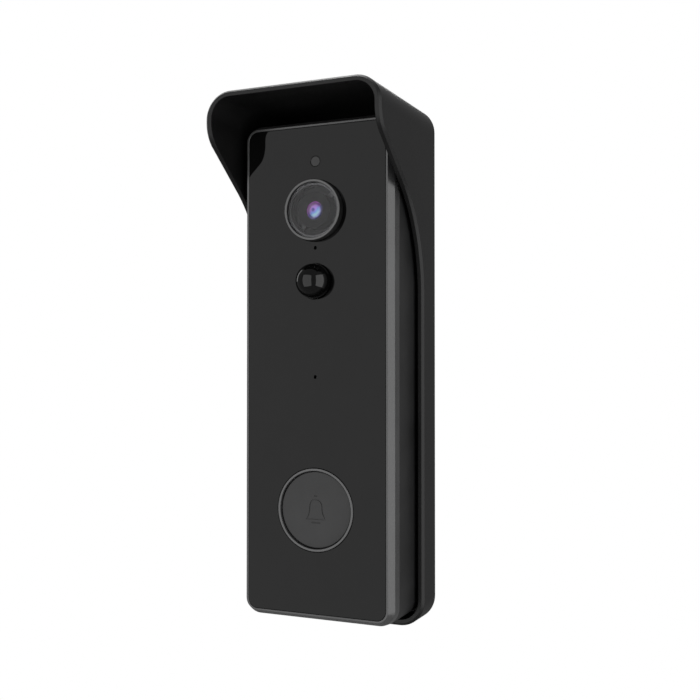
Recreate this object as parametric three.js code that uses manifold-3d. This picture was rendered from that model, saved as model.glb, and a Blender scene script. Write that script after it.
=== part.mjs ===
// Video doorbell in a rain hood, for a wall.
//
// Millimetres, +Z up. X runs across the doorbell, +Y runs into the wall, and the wall's surface
// is the plane y = 0. z = 0 is the middle of the doorbell's body.
// Depths are counted from the face of the front panel: behind(0) is the panel's face,
// a negative depth stands in front of it, and behind(WALL_DEPTH) is the wall.

import * as THREE from 'three';
import * as BufferGeometryUtils from 'three/addons/utils/BufferGeometryUtils.js';
import Module from 'manifold-3d';

// ---------------------------------------------------------------- driving dimensions

const BODY_HALF_WIDTH = 24.97;
const BODY_HALF_HEIGHT = 75;
const BODY_CORNER = 5.3;
const BODY_DEPTH = 25.6;
const WALL_DEPTH = 27.8;

const PANEL_HALF_WIDTH = 22.67;
const PANEL_THICK = 1.5;
const PANEL_CORNER = 3;
const RIM_HALF_WIDTH = 23.35;
const BEVEL_HALF_WIDTH = 24.7;
const BEVEL_DEPTH = 2.35;
const PARTING_DEPTH = 5.7;
const FRONT_WALL = [1.78, 2.9];

const CASING_WALL = 1.8;
const BACK_WALL = [24, BODY_DEPTH];

const HOOD_HALF_WIDTH = 28.07;
const HOOD_TOP = 81.68;
const HOOD_BOTTOM = -78;
const HOOD_CORNER = 8;
const HOOD_WALL = 2;
const HOOD_ROOF = 1.8;
const HOOD_BACK = [25.8, WALL_DEPTH];
const VISOR_DEPTH = -16.6;
const TRAY_DEPTH = 17.1;
const SWEEP_RADIUS = 40.5;
const SWEEP_START = 22.5;
const SWEEP_ANGLE = THREE.MathUtils.degToRad(52.4);
const VISOR_LIP_RADIUS = 9;
const WALL_SCREW_Z = 44;
const WALL_SCREW = { head: 4.2, shaft: 2.2, land: 0.4 };

const CAMERA_Z = 47.39;
const DOME_Z = 26.25;
const LIGHT_SENSOR_Z = 62.19;
const STATUS_Z = 36.27;
const MICROPHONE_Z = -2.28;
const BUTTON_Z = -41.87;

const BEZEL_RADIUS = 9.13;
const BEZEL_BAND = 0.85;
const BEZEL_FRONT = -2.6;
const BARREL_RADIUS = 5.4;
const DOME_RADIUS = 5.2;
const DOME_CENTRE = -1.5;
const DOME_HOLE_RADIUS = 5.42;
const WINDOW_RADIUS = 1.5;
const PINHOLE_RADIUS = 0.5;
const BUTTON_RING_RADIUS = 12.39;
const BUTTON_RADIUS = 11.4;
const BUTTON_FACE = 0.6;

const BOARD = [3.9, 4.9];
const CELL_RADIUS = 9.15;
const CELL_LENGTH = 64;
const CELL_X = 9.6;
const CELL_DEPTH = 15.25;
const BAY_HALF_WIDTH = 19.4;
const BAY_BOTTOM = -53;
const BAY_TOP = 17;
const BAY_WALL = 1;
const BAY_FLOOR = [5.1, 5.9];
const DOOR_HALF_WIDTH = 20.4;
const DOOR_BOTTOM = -58.4;
const DOOR_TOP = 22.4;
const DOOR_DEPTH = 24.5;
const DOOR_SCREWS = { upper: 20.2, lower: -56.2 };

const HOOK_X = 14;
const HOOK_Z = 60;
const RELEASE_TRAVEL = 4;
const CASE_SCREW_X = 19.4;
const CASE_SCREW_TOP = 68.5;
const CASE_SCREW_BOTTOM = -62.5;

const USB_X = -3.5;
const USB_DEPTH = 11;
const RESET_X = 6.5;
const FLAP_HALF_WIDTH = 10.8;
const FLAP_FRONT = 7.2;
const FLAP_BACK = 15;
const FLAP_THICK = 1;
const SPEAKER_X = -16.2;
const SPEAKER_DEPTH = 14.2;
const SECURITY_DEPTH = 21.4;

const GAP = 0.05; // between pieces that rest on each other
const FIT = 0.15; // around a piece that sits in a hole
const THROUGH = 1; // how far a cutter runs past the faces that it cuts

// Facets round a turned piece, by its size.
const BUTTON_ROUND = 36;
const CAMERA_ROUND = 32;
const ROUND = 28;
const CELL_ROUND = 24;
const SMALL_ROUND = 16;
const SCREW_ROUND = 12;

// ---------------------------------------------------------------- frame helpers

const behind = (depth) => depth - WALL_DEPTH;
const bodyBottom = -BODY_HALF_HEIGHT;
const innerHalfWidth = BODY_HALF_WIDTH - CASING_WALL;
const innerHalfHeight = BODY_HALF_HEIGHT - CASING_WALL;

// ---------------------------------------------------------------- solids

const wasm = await Module();
wasm.setup();

function signedVolume(position, index) {
  const [a, b, c] = [new THREE.Vector3(), new THREE.Vector3(), new THREE.Vector3()];
  let volume = 0;
  for (let i = 0; i < index.length; i += 3) {
    a.fromBufferAttribute(position, index[i]);
    b.fromBufferAttribute(position, index[i + 1]);
    c.fromBufferAttribute(position, index[i + 2]);
    volume += a.dot(b.cross(c)) / 6;
  }
  return volume;
}

// A closed geometry as a manifold solid: vertices merged, empty triangles dropped, faces outward.
function solid(geometry) {
  const bare = geometry.clone();
  for (const name of Object.keys(bare.attributes)) {
    if (name !== 'position') bare.deleteAttribute(name);
  }
  const merged = BufferGeometryUtils.mergeVertices(bare, 1e-4);
  const index = [];
  for (let i = 0; i < merged.index.count; i += 3) {
    const [a, b, c] = [0, 1, 2].map((k) => merged.index.getX(i + k));
    if (a !== b && b !== c && c !== a) index.push(a, b, c);
  }
  if (signedVolume(merged.attributes.position, index) < 0) index.reverse();
  return new wasm.Manifold(new wasm.Mesh({
    numProp: 3,
    vertProperties: new Float32Array(merged.attributes.position.array),
    triVerts: new Uint32Array(index),
  }));
}

function geometryOf(body) {
  const mesh = body.getMesh();
  const geometry = new THREE.BufferGeometry();
  geometry.setAttribute('position', new THREE.BufferAttribute(mesh.vertProperties, 3));
  geometry.setIndex(new THREE.BufferAttribute(mesh.triVerts, 1));
  return geometry;
}

const join = (first, ...rest) => rest.reduce((all, next) => all.add(next), first);
const cut = (first, ...rest) => rest.reduce((all, next) => all.subtract(next), first);

// A rectangle with round corners in the XZ plane.
function roundedRect(halfWidth, bottom, top, radius) {
  const shape = new THREE.Shape();
  const [left, right] = [radius - halfWidth, halfWidth - radius];
  shape.absarc(right, bottom + radius, radius, -Math.PI / 2, 0);
  shape.absarc(right, top - radius, radius, 0, Math.PI / 2);
  shape.absarc(left, top - radius, radius, Math.PI / 2, Math.PI);
  shape.absarc(left, bottom + radius, radius, Math.PI, 1.5 * Math.PI);
  shape.closePath();
  return shape;
}

const centredRect = (halfWidth, halfHeight, radius) => (
  roundedRect(halfWidth, -halfHeight, halfHeight, radius));

// A shape drawn in XZ, made solid between two depths.
function plate(shape, front, back, curveSegments = 3) {
  const geometry = new THREE.ExtrudeGeometry(shape, {
    depth: back - front, bevelEnabled: false, curveSegments,
  });
  geometry.rotateX(Math.PI / 2).translate(0, behind(back), 0);
  return solid(geometry);
}

// A shape drawn with its x along the depth (already in Y) and its y up, made solid across X.
function crossPlate(shape, left, right, curveSegments = 3) {
  const geometry = new THREE.ExtrudeGeometry(shape, {
    depth: right - left, bevelEnabled: false, curveSegments,
  });
  const depthUpAcross = new THREE.Matrix4().makeBasis(
    new THREE.Vector3(0, 1, 0), new THREE.Vector3(0, 0, 1), new THREE.Vector3(1, 0, 0));
  geometry.applyMatrix4(depthUpAcross).translate(left, 0, 0);
  return solid(geometry);
}

// A box between two corners: x, depth and z ranges.
function block([left, right], [front, back], [bottom, top]) {
  const geometry = new THREE.BoxGeometry(right - left, back - front, top - bottom);
  geometry.translate((left + right) / 2, behind((front + back) / 2), (bottom + top) / 2);
  return solid(geometry);
}

// A round bar along the depth.
function disc(radius, front, back, x = 0, z = 0, segments = ROUND) {
  const geometry = new THREE.CylinderGeometry(radius, radius, back - front, segments);
  geometry.translate(x, behind((front + back) / 2), z);
  return solid(geometry);
}

// A round bar that stands up, at a place given by x and depth.
function post(radius, bottom, top, x, depth, segments = SMALL_ROUND) {
  const geometry = new THREE.CylinderGeometry(radius, radius, top - bottom, segments);
  geometry.rotateX(Math.PI / 2).translate(x, behind(depth), (bottom + top) / 2);
  return solid(geometry);
}

// A turned piece with its axis along the depth. The profile is a list of [radius, depth].
function turned(profile, segments = ROUND) {
  const points = profile.map(([radius, depth]) => new THREE.Vector2(radius, behind(depth)));
  return solid(new THREE.LatheGeometry(points, segments));
}

// A turned piece with an upright axis at x and depth. The profile is a list of [radius, z].
function turnedUpright(profile, x, depth, segments = SMALL_ROUND) {
  const points = profile.map(([radius, z]) => new THREE.Vector2(radius, z));
  const geometry = new THREE.LatheGeometry(points, segments);
  geometry.rotateX(Math.PI / 2).translate(x, behind(depth), 0);
  return solid(geometry);
}

// A ring with a square section: inner and outer radius, front and back depth.
const ring = (inner, outer, front, back, segments = ROUND) => turned([
  [inner, front], [outer, front], [outer, back], [inner, back], [inner, front],
], segments);

// A solid through a stack of rounded rectangles, each [depth, half width, half height, corner].
function stack(sections, curveSegments = 3) {
  const outlines = sections.map(([, halfWidth, halfHeight, corner]) => (
    centredRect(halfWidth, halfHeight, corner).extractPoints(curveSegments).shape.slice(0, -1)));
  const count = outlines[0].length;
  const positions = [];
  outlines.forEach((outline, level) => {
    outline.forEach((p) => positions.push(p.x, behind(sections[level][0]), p.y));
  });
  const index = [];
  for (let level = 0; level + 1 < outlines.length; level += 1) {
    for (let i = 0; i < count; i += 1) {
      const [a, b] = [level * count + i, level * count + ((i + 1) % count)];
      index.push(a, b, b + count, a, b + count, a + count);
    }
  }
  const last = (outlines.length - 1) * count;
  for (const [a, b, c] of THREE.ShapeUtils.triangulateShape(outlines[0], [])) index.push(a, c, b);
  for (const [a, b, c] of THREE.ShapeUtils.triangulateShape(outlines.at(-1), [])) {
    index.push(last + a, last + b, last + c);
  }
  const geometry = new THREE.BufferGeometry();
  geometry.setAttribute('position', new THREE.Float32BufferAttribute(positions, 3));
  geometry.setIndex(index);
  return solid(geometry);
}

// ---------------------------------------------------------------- scene graph

const finish = (color, roughness, metalness = 0) => new THREE.MeshStandardMaterial({
  color, roughness, metalness,
});

const finishes = {
  hoodPlastic: finish(0x1c1c1d, 0.45),
  panelGloss: finish(0x0a0a0b, 0.06),
  casingPlastic: finish(0x232325, 0.35),
  ringGrey: finish(0x55565a, 0.3, 0.6),
  smokedGlass: finish(0x121214, 0.05),
  coatedLens: finish(0x3a2a80, 0.05),
  domeGloss: finish(0x050506, 0.05),
  buttonPlastic: finish(0x2a2b2c, 0.4),
  blackRubber: finish(0x161616, 0.8),
  adhesive: finish(0x303030, 0.9),
  boardGreen: finish(0x14503a, 0.5),
  chipBlack: finish(0x202124, 0.5),
  steel: finish(0xb5b7ba, 0.3, 1),
  brass: finish(0xb9903f, 0.35, 1),
  cellWrap: finish(0x2563a8, 0.4),
  clearPlastic: finish(0xcfd6dc, 0.1),
};

const doorbell = new THREE.Group();
const unit = new THREE.Group();
doorbell.add(unit);

function assembly(parent, z = 0) {
  const group = new THREE.Group();
  group.position.z = z;
  parent.add(group);
  return group;
}

function add(parent, name, body, material) {
  const mesh = new THREE.Mesh(geometryOf(body), material);
  mesh.name = name;
  parent.add(mesh);
  return mesh;
}

// ---------------------------------------------------------------- rain hood

// The hood's side, as a region that is kept: a tray at the bottom whose front edge sweeps
// forward and up, through a round bend and a straight slope, into the visor's lip.
function hoodSideRegion() {
  const [back, tray, visor] = [WALL_DEPTH + THROUGH, TRAY_DEPTH, VISOR_DEPTH].map(behind);
  const bendCentre = tray - SWEEP_RADIUS;
  const bendEnd = {
    y: bendCentre + SWEEP_RADIUS * Math.cos(SWEEP_ANGLE),
    z: SWEEP_START + SWEEP_RADIUS * Math.sin(SWEEP_ANGLE),
  };
  const lipCentreY = visor + VISOR_LIP_RADIUS;
  const lipStartY = lipCentreY - VISOR_LIP_RADIUS * Math.cos(SWEEP_ANGLE);
  const lipStartZ = bendEnd.z + (bendEnd.y - lipStartY) / Math.tan(SWEEP_ANGLE);
  const lipCentreZ = lipStartZ + VISOR_LIP_RADIUS * Math.sin(SWEEP_ANGLE);

  const side = new THREE.Shape();
  side.moveTo(back, HOOD_BOTTOM - THROUGH);
  side.lineTo(tray, HOOD_BOTTOM - THROUGH);
  side.absarc(bendCentre, SWEEP_START, SWEEP_RADIUS, 0, SWEEP_ANGLE);
  side.absarc(lipCentreY, lipCentreZ, VISOR_LIP_RADIUS, Math.PI + SWEEP_ANGLE, Math.PI, true);
  side.lineTo(visor, HOOD_TOP + THROUGH);
  side.lineTo(back, HOOD_TOP + THROUGH);
  side.closePath();
  return crossPlate(side, -HOOD_HALF_WIDTH - THROUGH, HOOD_HALF_WIDTH + THROUGH, 5);
}

// A hook on the back plate: a stem through the casing's slot, and a lip that points up behind
// the casing's back wall, so the doorbell hangs on it.
const HOOK = { halfWidth: 3, stemHeight: 2.2, lipRise: 3.4, front: 22.4, lipBack: 23.8 };

function hook(x) {
  const across = [x - HOOK.halfWidth, x + HOOK.halfWidth];
  const foot = HOOK_Z - HOOK.stemHeight;
  return join(
    block(across, [HOOK.front, HOOD_BACK[0] + THROUGH], [foot, HOOK_Z]),
    block(across, [HOOK.front, HOOK.lipBack], [foot, HOOK_Z + HOOK.lipRise]),
  );
}

const SECURITY_HEAD = { radius: 2.75, thick: 1.1, inset: 0.04 };
const SECURITY_SHAFT = { radius: 1.45, hole: 1.7, tip: -68.6, taper: 0.6 };
const HEX_SOCKET = { radius: 1.2, deep: 0.7 };

function rainHood() {
  const shell = cut(
    plate(roundedRect(HOOD_HALF_WIDTH, HOOD_BOTTOM, HOOD_TOP, HOOD_CORNER),
      VISOR_DEPTH, WALL_DEPTH, 4),
    plate(roundedRect(HOOD_HALF_WIDTH - HOOD_WALL, HOOD_BOTTOM + HOOD_WALL,
      HOOD_TOP - HOOD_ROOF, HOOD_CORNER - HOOD_WALL), VISOR_DEPTH - THROUGH, HOOD_BACK[0], 4),
  ).intersect(hoodSideRegion());

  const { head, shaft, land } = WALL_SCREW;
  const wallScrewHole = (z) => {
    const hole = turned([
      [0, HOOD_BACK[0] - THROUGH], [head, HOOD_BACK[0] - THROUGH], [head, HOOD_BACK[0]],
      [shaft, WALL_DEPTH - land], [shaft, WALL_DEPTH + THROUGH], [0, WALL_DEPTH + THROUGH],
    ], SMALL_ROUND);
    return hole.translate([0, 0, z]);
  };
  const securityHole = post(SECURITY_SHAFT.hole, HOOD_BOTTOM - THROUGH, HOOD_BOTTOM + HOOD_WALL + THROUGH,
    0, SECURITY_DEPTH);
  const securityRecess = post(SECURITY_HEAD.radius + FIT, HOOD_BOTTOM - THROUGH,
    HOOD_BOTTOM + SECURITY_HEAD.inset + SECURITY_HEAD.thick + GAP, 0, SECURITY_DEPTH);
  return cut(
    join(shell, hook(HOOK_X), hook(-HOOK_X)),
    wallScrewHole(WALL_SCREW_Z), wallScrewHole(-WALL_SCREW_Z), securityHole, securityRecess,
  );
}

function securityScrew() {
  const headBottom = HOOD_BOTTOM + SECURITY_HEAD.inset;
  const headTop = headBottom + SECURITY_HEAD.thick;
  const { radius, tip, taper } = SECURITY_SHAFT;
  const screw = turnedUpright([
    [0, headBottom], [SECURITY_HEAD.radius, headBottom], [SECURITY_HEAD.radius, headTop],
    [radius, headTop], [radius, tip - taper], [radius - taper, tip], [0, tip],
  ], 0, SECURITY_DEPTH);
  const hexSocket = post(HEX_SOCKET.radius, headBottom - THROUGH, headBottom + HEX_SOCKET.deep,
    0, SECURITY_DEPTH, 6);
  return screw.subtract(hexSocket);
}

add(doorbell, 'rain_hood', rainHood(), finishes.hoodPlastic);
add(doorbell, 'security_screw', securityScrew(), finishes.steel);

// ---------------------------------------------------------------- front panel and casings

const panelHalfHeight = BODY_HALF_HEIGHT - BODY_HALF_WIDTH + PANEL_HALF_WIDTH;

// The holes that the panel, its adhesive and the casing's front wall share. `grow` widens them.
function faceHoles(front, back, grow = 0) {
  return [
    disc(BEZEL_RADIUS + FIT + grow, front, back, 0, CAMERA_Z, CAMERA_ROUND),
    disc(DOME_HOLE_RADIUS + grow, front, back, 0, DOME_Z),
    disc(WINDOW_RADIUS + 0.1 + grow, front, back, 0, LIGHT_SENSOR_Z, SMALL_ROUND),
    disc(PINHOLE_RADIUS + grow, front, back, 0, STATUS_Z, SCREW_ROUND),
    disc(PINHOLE_RADIUS + grow, front, back, 0, MICROPHONE_Z, SCREW_ROUND),
    disc(BUTTON_RING_RADIUS + FIT + grow, front, back, 0, BUTTON_Z, BUTTON_ROUND),
  ];
}

function frontPanel() {
  return cut(
    plate(centredRect(PANEL_HALF_WIDTH, panelHalfHeight, PANEL_CORNER), 0, PANEL_THICK),
    ...faceHoles(-THROUGH, PANEL_THICK + THROUGH),
  );
}

function panelAdhesive() {
  const inset = 0.6;
  const [front, back] = [PANEL_THICK + GAP / 2, FRONT_WALL[0] - GAP / 2];
  return cut(
    plate(centredRect(PANEL_HALF_WIDTH - inset, panelHalfHeight - inset, PANEL_CORNER - inset),
      front, back),
    ...faceHoles(front - THROUGH, back + THROUGH, inset),
  );
}

const CASE_SCREWS = {
  top_left: [-CASE_SCREW_X, CASE_SCREW_TOP],
  top_right: [CASE_SCREW_X, CASE_SCREW_TOP],
  bottom_left: [-CASE_SCREW_X, CASE_SCREW_BOTTOM],
  bottom_right: [CASE_SCREW_X, CASE_SCREW_BOTTOM],
};
const CASE_SCREW = { shaft: 0.9, head: 1.9, tip: 4.6, headFront: 12.05, headBack: 13.5 };
const FRONT_POST = { radius: 2, back: 7.9 };
const TOWER = { radius: 2.6, front: 8 };

const lipHalfWidth = innerHalfWidth - 0.22;
const LIP_DEPTH = 7;
const cavityHalfWidth = 21.9;
const heightFor = (halfWidth) => BODY_HALF_HEIGHT - BODY_HALF_WIDTH + halfWidth;

function frontCasing() {
  const outside = stack([
    [0, RIM_HALF_WIDTH, heightFor(RIM_HALF_WIDTH), 3.7],
    [BEVEL_DEPTH, BEVEL_HALF_WIDTH, heightFor(BEVEL_HALF_WIDTH), 5],
    [PARTING_DEPTH, BODY_HALF_WIDTH, BODY_HALF_HEIGHT, BODY_CORNER],
  ]);
  const lip = plate(centredRect(lipHalfWidth, heightFor(lipHalfWidth), 3.4),
    PARTING_DEPTH - 0.5, LIP_DEPTH);
  const panelSeat = plate(centredRect(PANEL_HALF_WIDTH + GAP, panelHalfHeight + GAP,
    PANEL_CORNER + GAP), -THROUGH, FRONT_WALL[0]);
  const cavity = plate(centredRect(cavityHalfWidth, heightFor(cavityHalfWidth), 2.6),
    FRONT_WALL[1], LIP_DEPTH + THROUGH);
  const microphonePocket = disc(2.2, 2.2, FRONT_WALL[1] + 0.5, 0, MICROPHONE_Z, SMALL_ROUND);
  let casing = cut(join(outside, lip), panelSeat, cavity, microphonePocket,
    ...faceHoles(0, FRONT_WALL[1] + 0.5));
  for (const [x, z] of Object.values(CASE_SCREWS)) {
    casing = casing
      .add(disc(FRONT_POST.radius, FRONT_WALL[1] - 0.5, FRONT_POST.back, x, z, SCREW_ROUND))
      .subtract(disc(CASE_SCREW.shaft + GAP, 4, FRONT_POST.back + THROUGH, x, z, SCREW_ROUND));
  }
  return casing;
}

const GASKET = { outer: 24.4, inner: 23.8, back: 6.35 };
const REAR_FRONT = PARTING_DEPTH + 0.1;

// A flat loop that follows the body's outline, between two half widths.
function outlineLoop(outer, inner, front, back) {
  const corner = (halfWidth) => BODY_CORNER - BODY_HALF_WIDTH + halfWidth;
  return plate(centredRect(outer, heightFor(outer), corner(outer)), front, back)
    .subtract(plate(centredRect(inner, heightFor(inner), corner(inner)),
      front - THROUGH, back + THROUGH));
}

const SPEAKER_SLOTS = [8.6, 10.6, 12.6, 14.6];
const FLAP_PIVOT_Z = bodyBottom + FLAP_THICK / 2;
const BOSS = { radius: 3.6, bore: 2.45, top: -67 };
const DOOR_PILLAR = { radius: 2.4, front: 16 };

// The holes for a screw's shaft and for its head, which is towards the wall.
function screwHoles({ shaft, head, headFront }, front, x, z) {
  const back = BODY_DEPTH + THROUGH;
  return [
    disc(shaft + FIT, front, back, x, z, SCREW_ROUND),
    disc(head + FIT, headFront - GAP, back, x, z, SCREW_ROUND),
  ];
}

// The openings in the casing's bottom wall: the flap's recess with its fingernail notch, the
// charging port, the reset button, the speaker's slots and the security screw.
function bottomOpenings() {
  const wallTop = bodyBottom + CASING_WALL + 0.3;
  const below = bodyBottom - THROUGH;
  const recessTop = bodyBottom + FLAP_THICK + 0.1;
  const side = 0.3;
  return [
    block([-FLAP_HALF_WIDTH - side, FLAP_HALF_WIDTH + side],
      [FLAP_FRONT - side, FLAP_BACK + side], [below, recessTop]),
    block([-3, 3], [FLAP_BACK, FLAP_BACK + 1.4], [below, recessTop - 0.3]),
    block([USB_X - 4.9, USB_X + 4.9], [USB_DEPTH - 1.9, USB_DEPTH + 2.2], [below, wallTop]),
    post(1.5, below, wallTop, RESET_X, USB_DEPTH),
    ...SPEAKER_SLOTS.map((depth) => block([SPEAKER_X - 4, SPEAKER_X + 4],
      [depth - 0.6, depth + 0.6], [below, wallTop])),
    post(1.8, below, wallTop, 0, SECURITY_DEPTH),
  ];
}

function hookSlot(x) {
  const side = 0.3;
  const lowest = HOOK_Z - HOOK.stemHeight - RELEASE_TRAVEL - 0.5;
  return block([x - HOOK.halfWidth - side, x + HOOK.halfWidth + side],
    [BACK_WALL[0] - 0.5, BODY_DEPTH + THROUGH], [lowest, HOOK_Z + GAP]);
}

function rearCasing() {
  const edge = 0.5;
  const outside = stack([
    [REAR_FRONT, BODY_HALF_WIDTH, BODY_HALF_HEIGHT, BODY_CORNER],
    [BODY_DEPTH - edge, BODY_HALF_WIDTH, BODY_HALF_HEIGHT, BODY_CORNER],
    [BODY_DEPTH, BODY_HALF_WIDTH - edge, BODY_HALF_HEIGHT - edge, BODY_CORNER - edge],
  ]);
  const inside = plate(centredRect(innerHalfWidth, innerHalfHeight, BODY_CORNER - CASING_WALL),
    REAR_FRONT - THROUGH, BACK_WALL[0]);
  const bayOutside = block([-BAY_HALF_WIDTH - BAY_WALL, BAY_HALF_WIDTH + BAY_WALL],
    [BAY_FLOOR[0], BACK_WALL[0] + 0.2], [BAY_BOTTOM - BAY_WALL, BAY_TOP + BAY_WALL]);
  const bay = block([-BAY_HALF_WIDTH, BAY_HALF_WIDTH], [BAY_FLOOR[1], BODY_DEPTH + THROUGH],
    [BAY_BOTTOM, BAY_TOP]);
  const doorSide = 0.2;
  const doorRecess = plate(roundedRect(DOOR_HALF_WIDTH + doorSide, DOOR_BOTTOM - doorSide,
    DOOR_TOP + doorSide, 3.2), DOOR_DEPTH - GAP, BODY_DEPTH + THROUGH);
  const gasketGroove = outlineLoop(GASKET.outer + GAP, GASKET.inner - GAP,
    REAR_FRONT - THROUGH, GASKET.back + GAP);

  let casing = join(outside.subtract(inside), bayOutside,
    post(BOSS.radius, bodyBottom + CASING_WALL - 0.3, BOSS.top, 0, SECURITY_DEPTH));
  for (const z of Object.values(DOOR_SCREWS)) {
    casing = casing.add(disc(DOOR_PILLAR.radius, DOOR_PILLAR.front, BACK_WALL[0] + 0.2,
      0, z, SCREW_ROUND));
  }
  for (const [x, z] of Object.values(CASE_SCREWS)) {
    casing = casing.add(disc(TOWER.radius, TOWER.front, BACK_WALL[0] + 0.2, x, z, SCREW_ROUND));
  }
  casing = cut(casing, bay, doorRecess, gasketGroove, ...bottomOpenings(),
    hookSlot(HOOK_X), hookSlot(-HOOK_X),
    post(BOSS.bore, bodyBottom + CASING_WALL, BOSS.top + THROUGH, 0, SECURITY_DEPTH));
  for (const z of Object.values(DOOR_SCREWS)) {
    casing = casing.subtract(disc(DOOR_SCREW.shaft + 0.1, DOOR_SCREW.tip - 0.3, BODY_DEPTH,
      0, z, SCREW_ROUND));
  }
  for (const [x, z] of Object.values(CASE_SCREWS)) {
    casing = cut(casing, ...screwHoles(CASE_SCREW, TOWER.front - THROUGH, x, z));
  }
  return casing;
}

// A pan-head screw along the depth, its head towards the wall, with a cross recess.
function screwFromBehind({ shaft, head, tip, headFront, headBack }) {
  const recess = 0.6;
  const screw = turned([
    [0, tip], [shaft, tip], [shaft, headFront], [head, headFront], [head, headBack],
    [0, headBack],
  ], SCREW_ROUND);
  const slot = (halfX, halfZ) => block([-halfX, halfX], [headBack - recess, headBack + THROUGH],
    [-halfZ, halfZ]);
  return cut(screw, slot(1.1, 0.2), slot(0.2, 1.1));
}

const DOOR_SCREW = { shaft: 0.95, head: 1.9, tip: 17.5, headFront: 24.95, headBack: 25.6 };

// Three grooves across the door's lower end, for a finger's grip.
const DOOR_GRIP = { z: -45, halfWidth: 12, halfHeight: 1, pitch: 6, deep: 0.3 };

function batteryDoor() {
  const rebate = 0.9;
  const sealSeat = 0.45;
  const cover = plate(roundedRect(DOOR_HALF_WIDTH, DOOR_BOTTOM, DOOR_TOP, 3),
    DOOR_DEPTH + sealSeat, BODY_DEPTH);
  const step = plate(roundedRect(DOOR_HALF_WIDTH - rebate, DOOR_BOTTOM + rebate,
    DOOR_TOP - rebate, 3 - rebate), DOOR_DEPTH, DOOR_DEPTH + sealSeat + 0.2);
  let door = cover.add(step);
  for (const z of Object.values(DOOR_SCREWS)) {
    door = cut(door, ...screwHoles(DOOR_SCREW, DOOR_DEPTH - THROUGH, 0, z));
  }
  const { z: gripZ, halfWidth, halfHeight, pitch, deep } = DOOR_GRIP;
  const grooves = [-pitch, 0, pitch].map((rise) => block([-halfWidth, halfWidth],
    [BODY_DEPTH - deep, BODY_DEPTH + THROUGH],
    [gripZ + rise - halfHeight, gripZ + rise + halfHeight]));
  return cut(door, ...grooves);
}

function batteryDoorSeal() {
  const [outer, inner] = [0.15, 0.8];
  const loop = (inset, front, back) => plate(roundedRect(DOOR_HALF_WIDTH - inset,
    DOOR_BOTTOM + inset, DOOR_TOP - inset, 3 - inset), front, back);
  return loop(outer, DOOR_DEPTH, DOOR_DEPTH + 0.4)
    .subtract(loop(inner, DOOR_DEPTH - THROUGH, DOOR_DEPTH + THROUGH));
}

add(unit, 'front_panel', frontPanel(), finishes.panelGloss);
add(unit, 'panel_adhesive', panelAdhesive(), finishes.adhesive);
add(unit, 'front_casing', frontCasing(), finishes.casingPlastic);
add(unit, 'rear_casing', rearCasing(), finishes.casingPlastic);
add(unit, 'casing_gasket',
  outlineLoop(GASKET.outer, GASKET.inner, REAR_FRONT, GASKET.back), finishes.blackRubber);
add(unit, 'battery_door', batteryDoor(), finishes.casingPlastic);
add(unit, 'battery_door_seal', batteryDoorSeal(), finishes.blackRubber);
for (const [place, z] of Object.entries(DOOR_SCREWS)) {
  add(assembly(unit, z), `door_screw_${place}`, screwFromBehind(DOOR_SCREW), finishes.steel);
}
for (const [place, [x, z]] of Object.entries(CASE_SCREWS)) {
  const screw = add(unit, `case_screw_${place}`, screwFromBehind(CASE_SCREW), finishes.steel);
  screw.position.set(x, 0, z);
}

// ---------------------------------------------------------------- camera

const GLASS = [-2.05, -1.3];
const LED_BOARD = [2.2, 3];
const SENSOR_BOARD = [12.45, 13.25];
const BARREL_BORE = { rear: 4.4, rearFront: 3.6, seat: 3.3, seatFront: -0.2 };
const LENS = { seat: 3.2, rim: 2.5, bulge: 0.7, face: -0.15, back: 3.5 };

function cameraBezelRing() {
  const bandInner = BEZEL_RADIUS - BEZEL_BAND;
  const bore = 7.6;
  const flange = 10.3;
  const back = 3.6;
  return turned([
    [bandInner, BEZEL_FRONT], [BEZEL_RADIUS, BEZEL_FRONT], [BEZEL_RADIUS, FRONT_WALL[1] + GAP],
    [flange, FRONT_WALL[1] + GAP], [flange, back], [bore, back], [bore, GLASS[1] + GAP],
    [bandInner, GLASS[1] + GAP], [bandInner, BEZEL_FRONT],
  ], CAMERA_ROUND);
}

// The barrel's front is a shallow funnel that steps down to the lens; behind it the bore widens.
function lensBarrel() {
  const [front, back] = [-1.15, 8];
  const { rear, seat, rearFront, seatFront } = BARREL_BORE;
  return turned([
    [BARREL_RADIUS, front], [BARREL_RADIUS, back], [rear, back], [rear, rearFront],
    [seat, rearFront], [seat, seatFront], [2.6, seatFront], [2.6, -0.45], [3.4, -0.6],
    [3.4, -0.75], [4.4, -0.9], [5, front], [BARREL_RADIUS, front],
  ]);
}

// A lens with a domed front: a seat with a flat rim, and a cap that bulges to the front.
function lensFrontElement() {
  const { seat, rim, bulge, face, back } = LENS;
  const dome = [0.25, 0.5, 0.75].map((turn) => [
    rim * Math.sin(turn * Math.PI / 2), face - bulge * Math.cos(turn * Math.PI / 2),
  ]);
  return turned([[0, face - bulge], ...dome, [rim, face], [seat, face], [seat, back], [0, back]]);
}

function lensHolder() {
  const tube = ring(BARREL_RADIUS + 0.1, 6.6, 5.05, 9.6);
  const base = block([-6.6, 6.6], [9.2, SENSOR_BOARD[0] - GAP], [-6.6, 6.6]);
  return cut(tube.add(base), disc(4.2, 9, 11), block([-4, 4], [10.8, 13], [-4, 4]));
}

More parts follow.
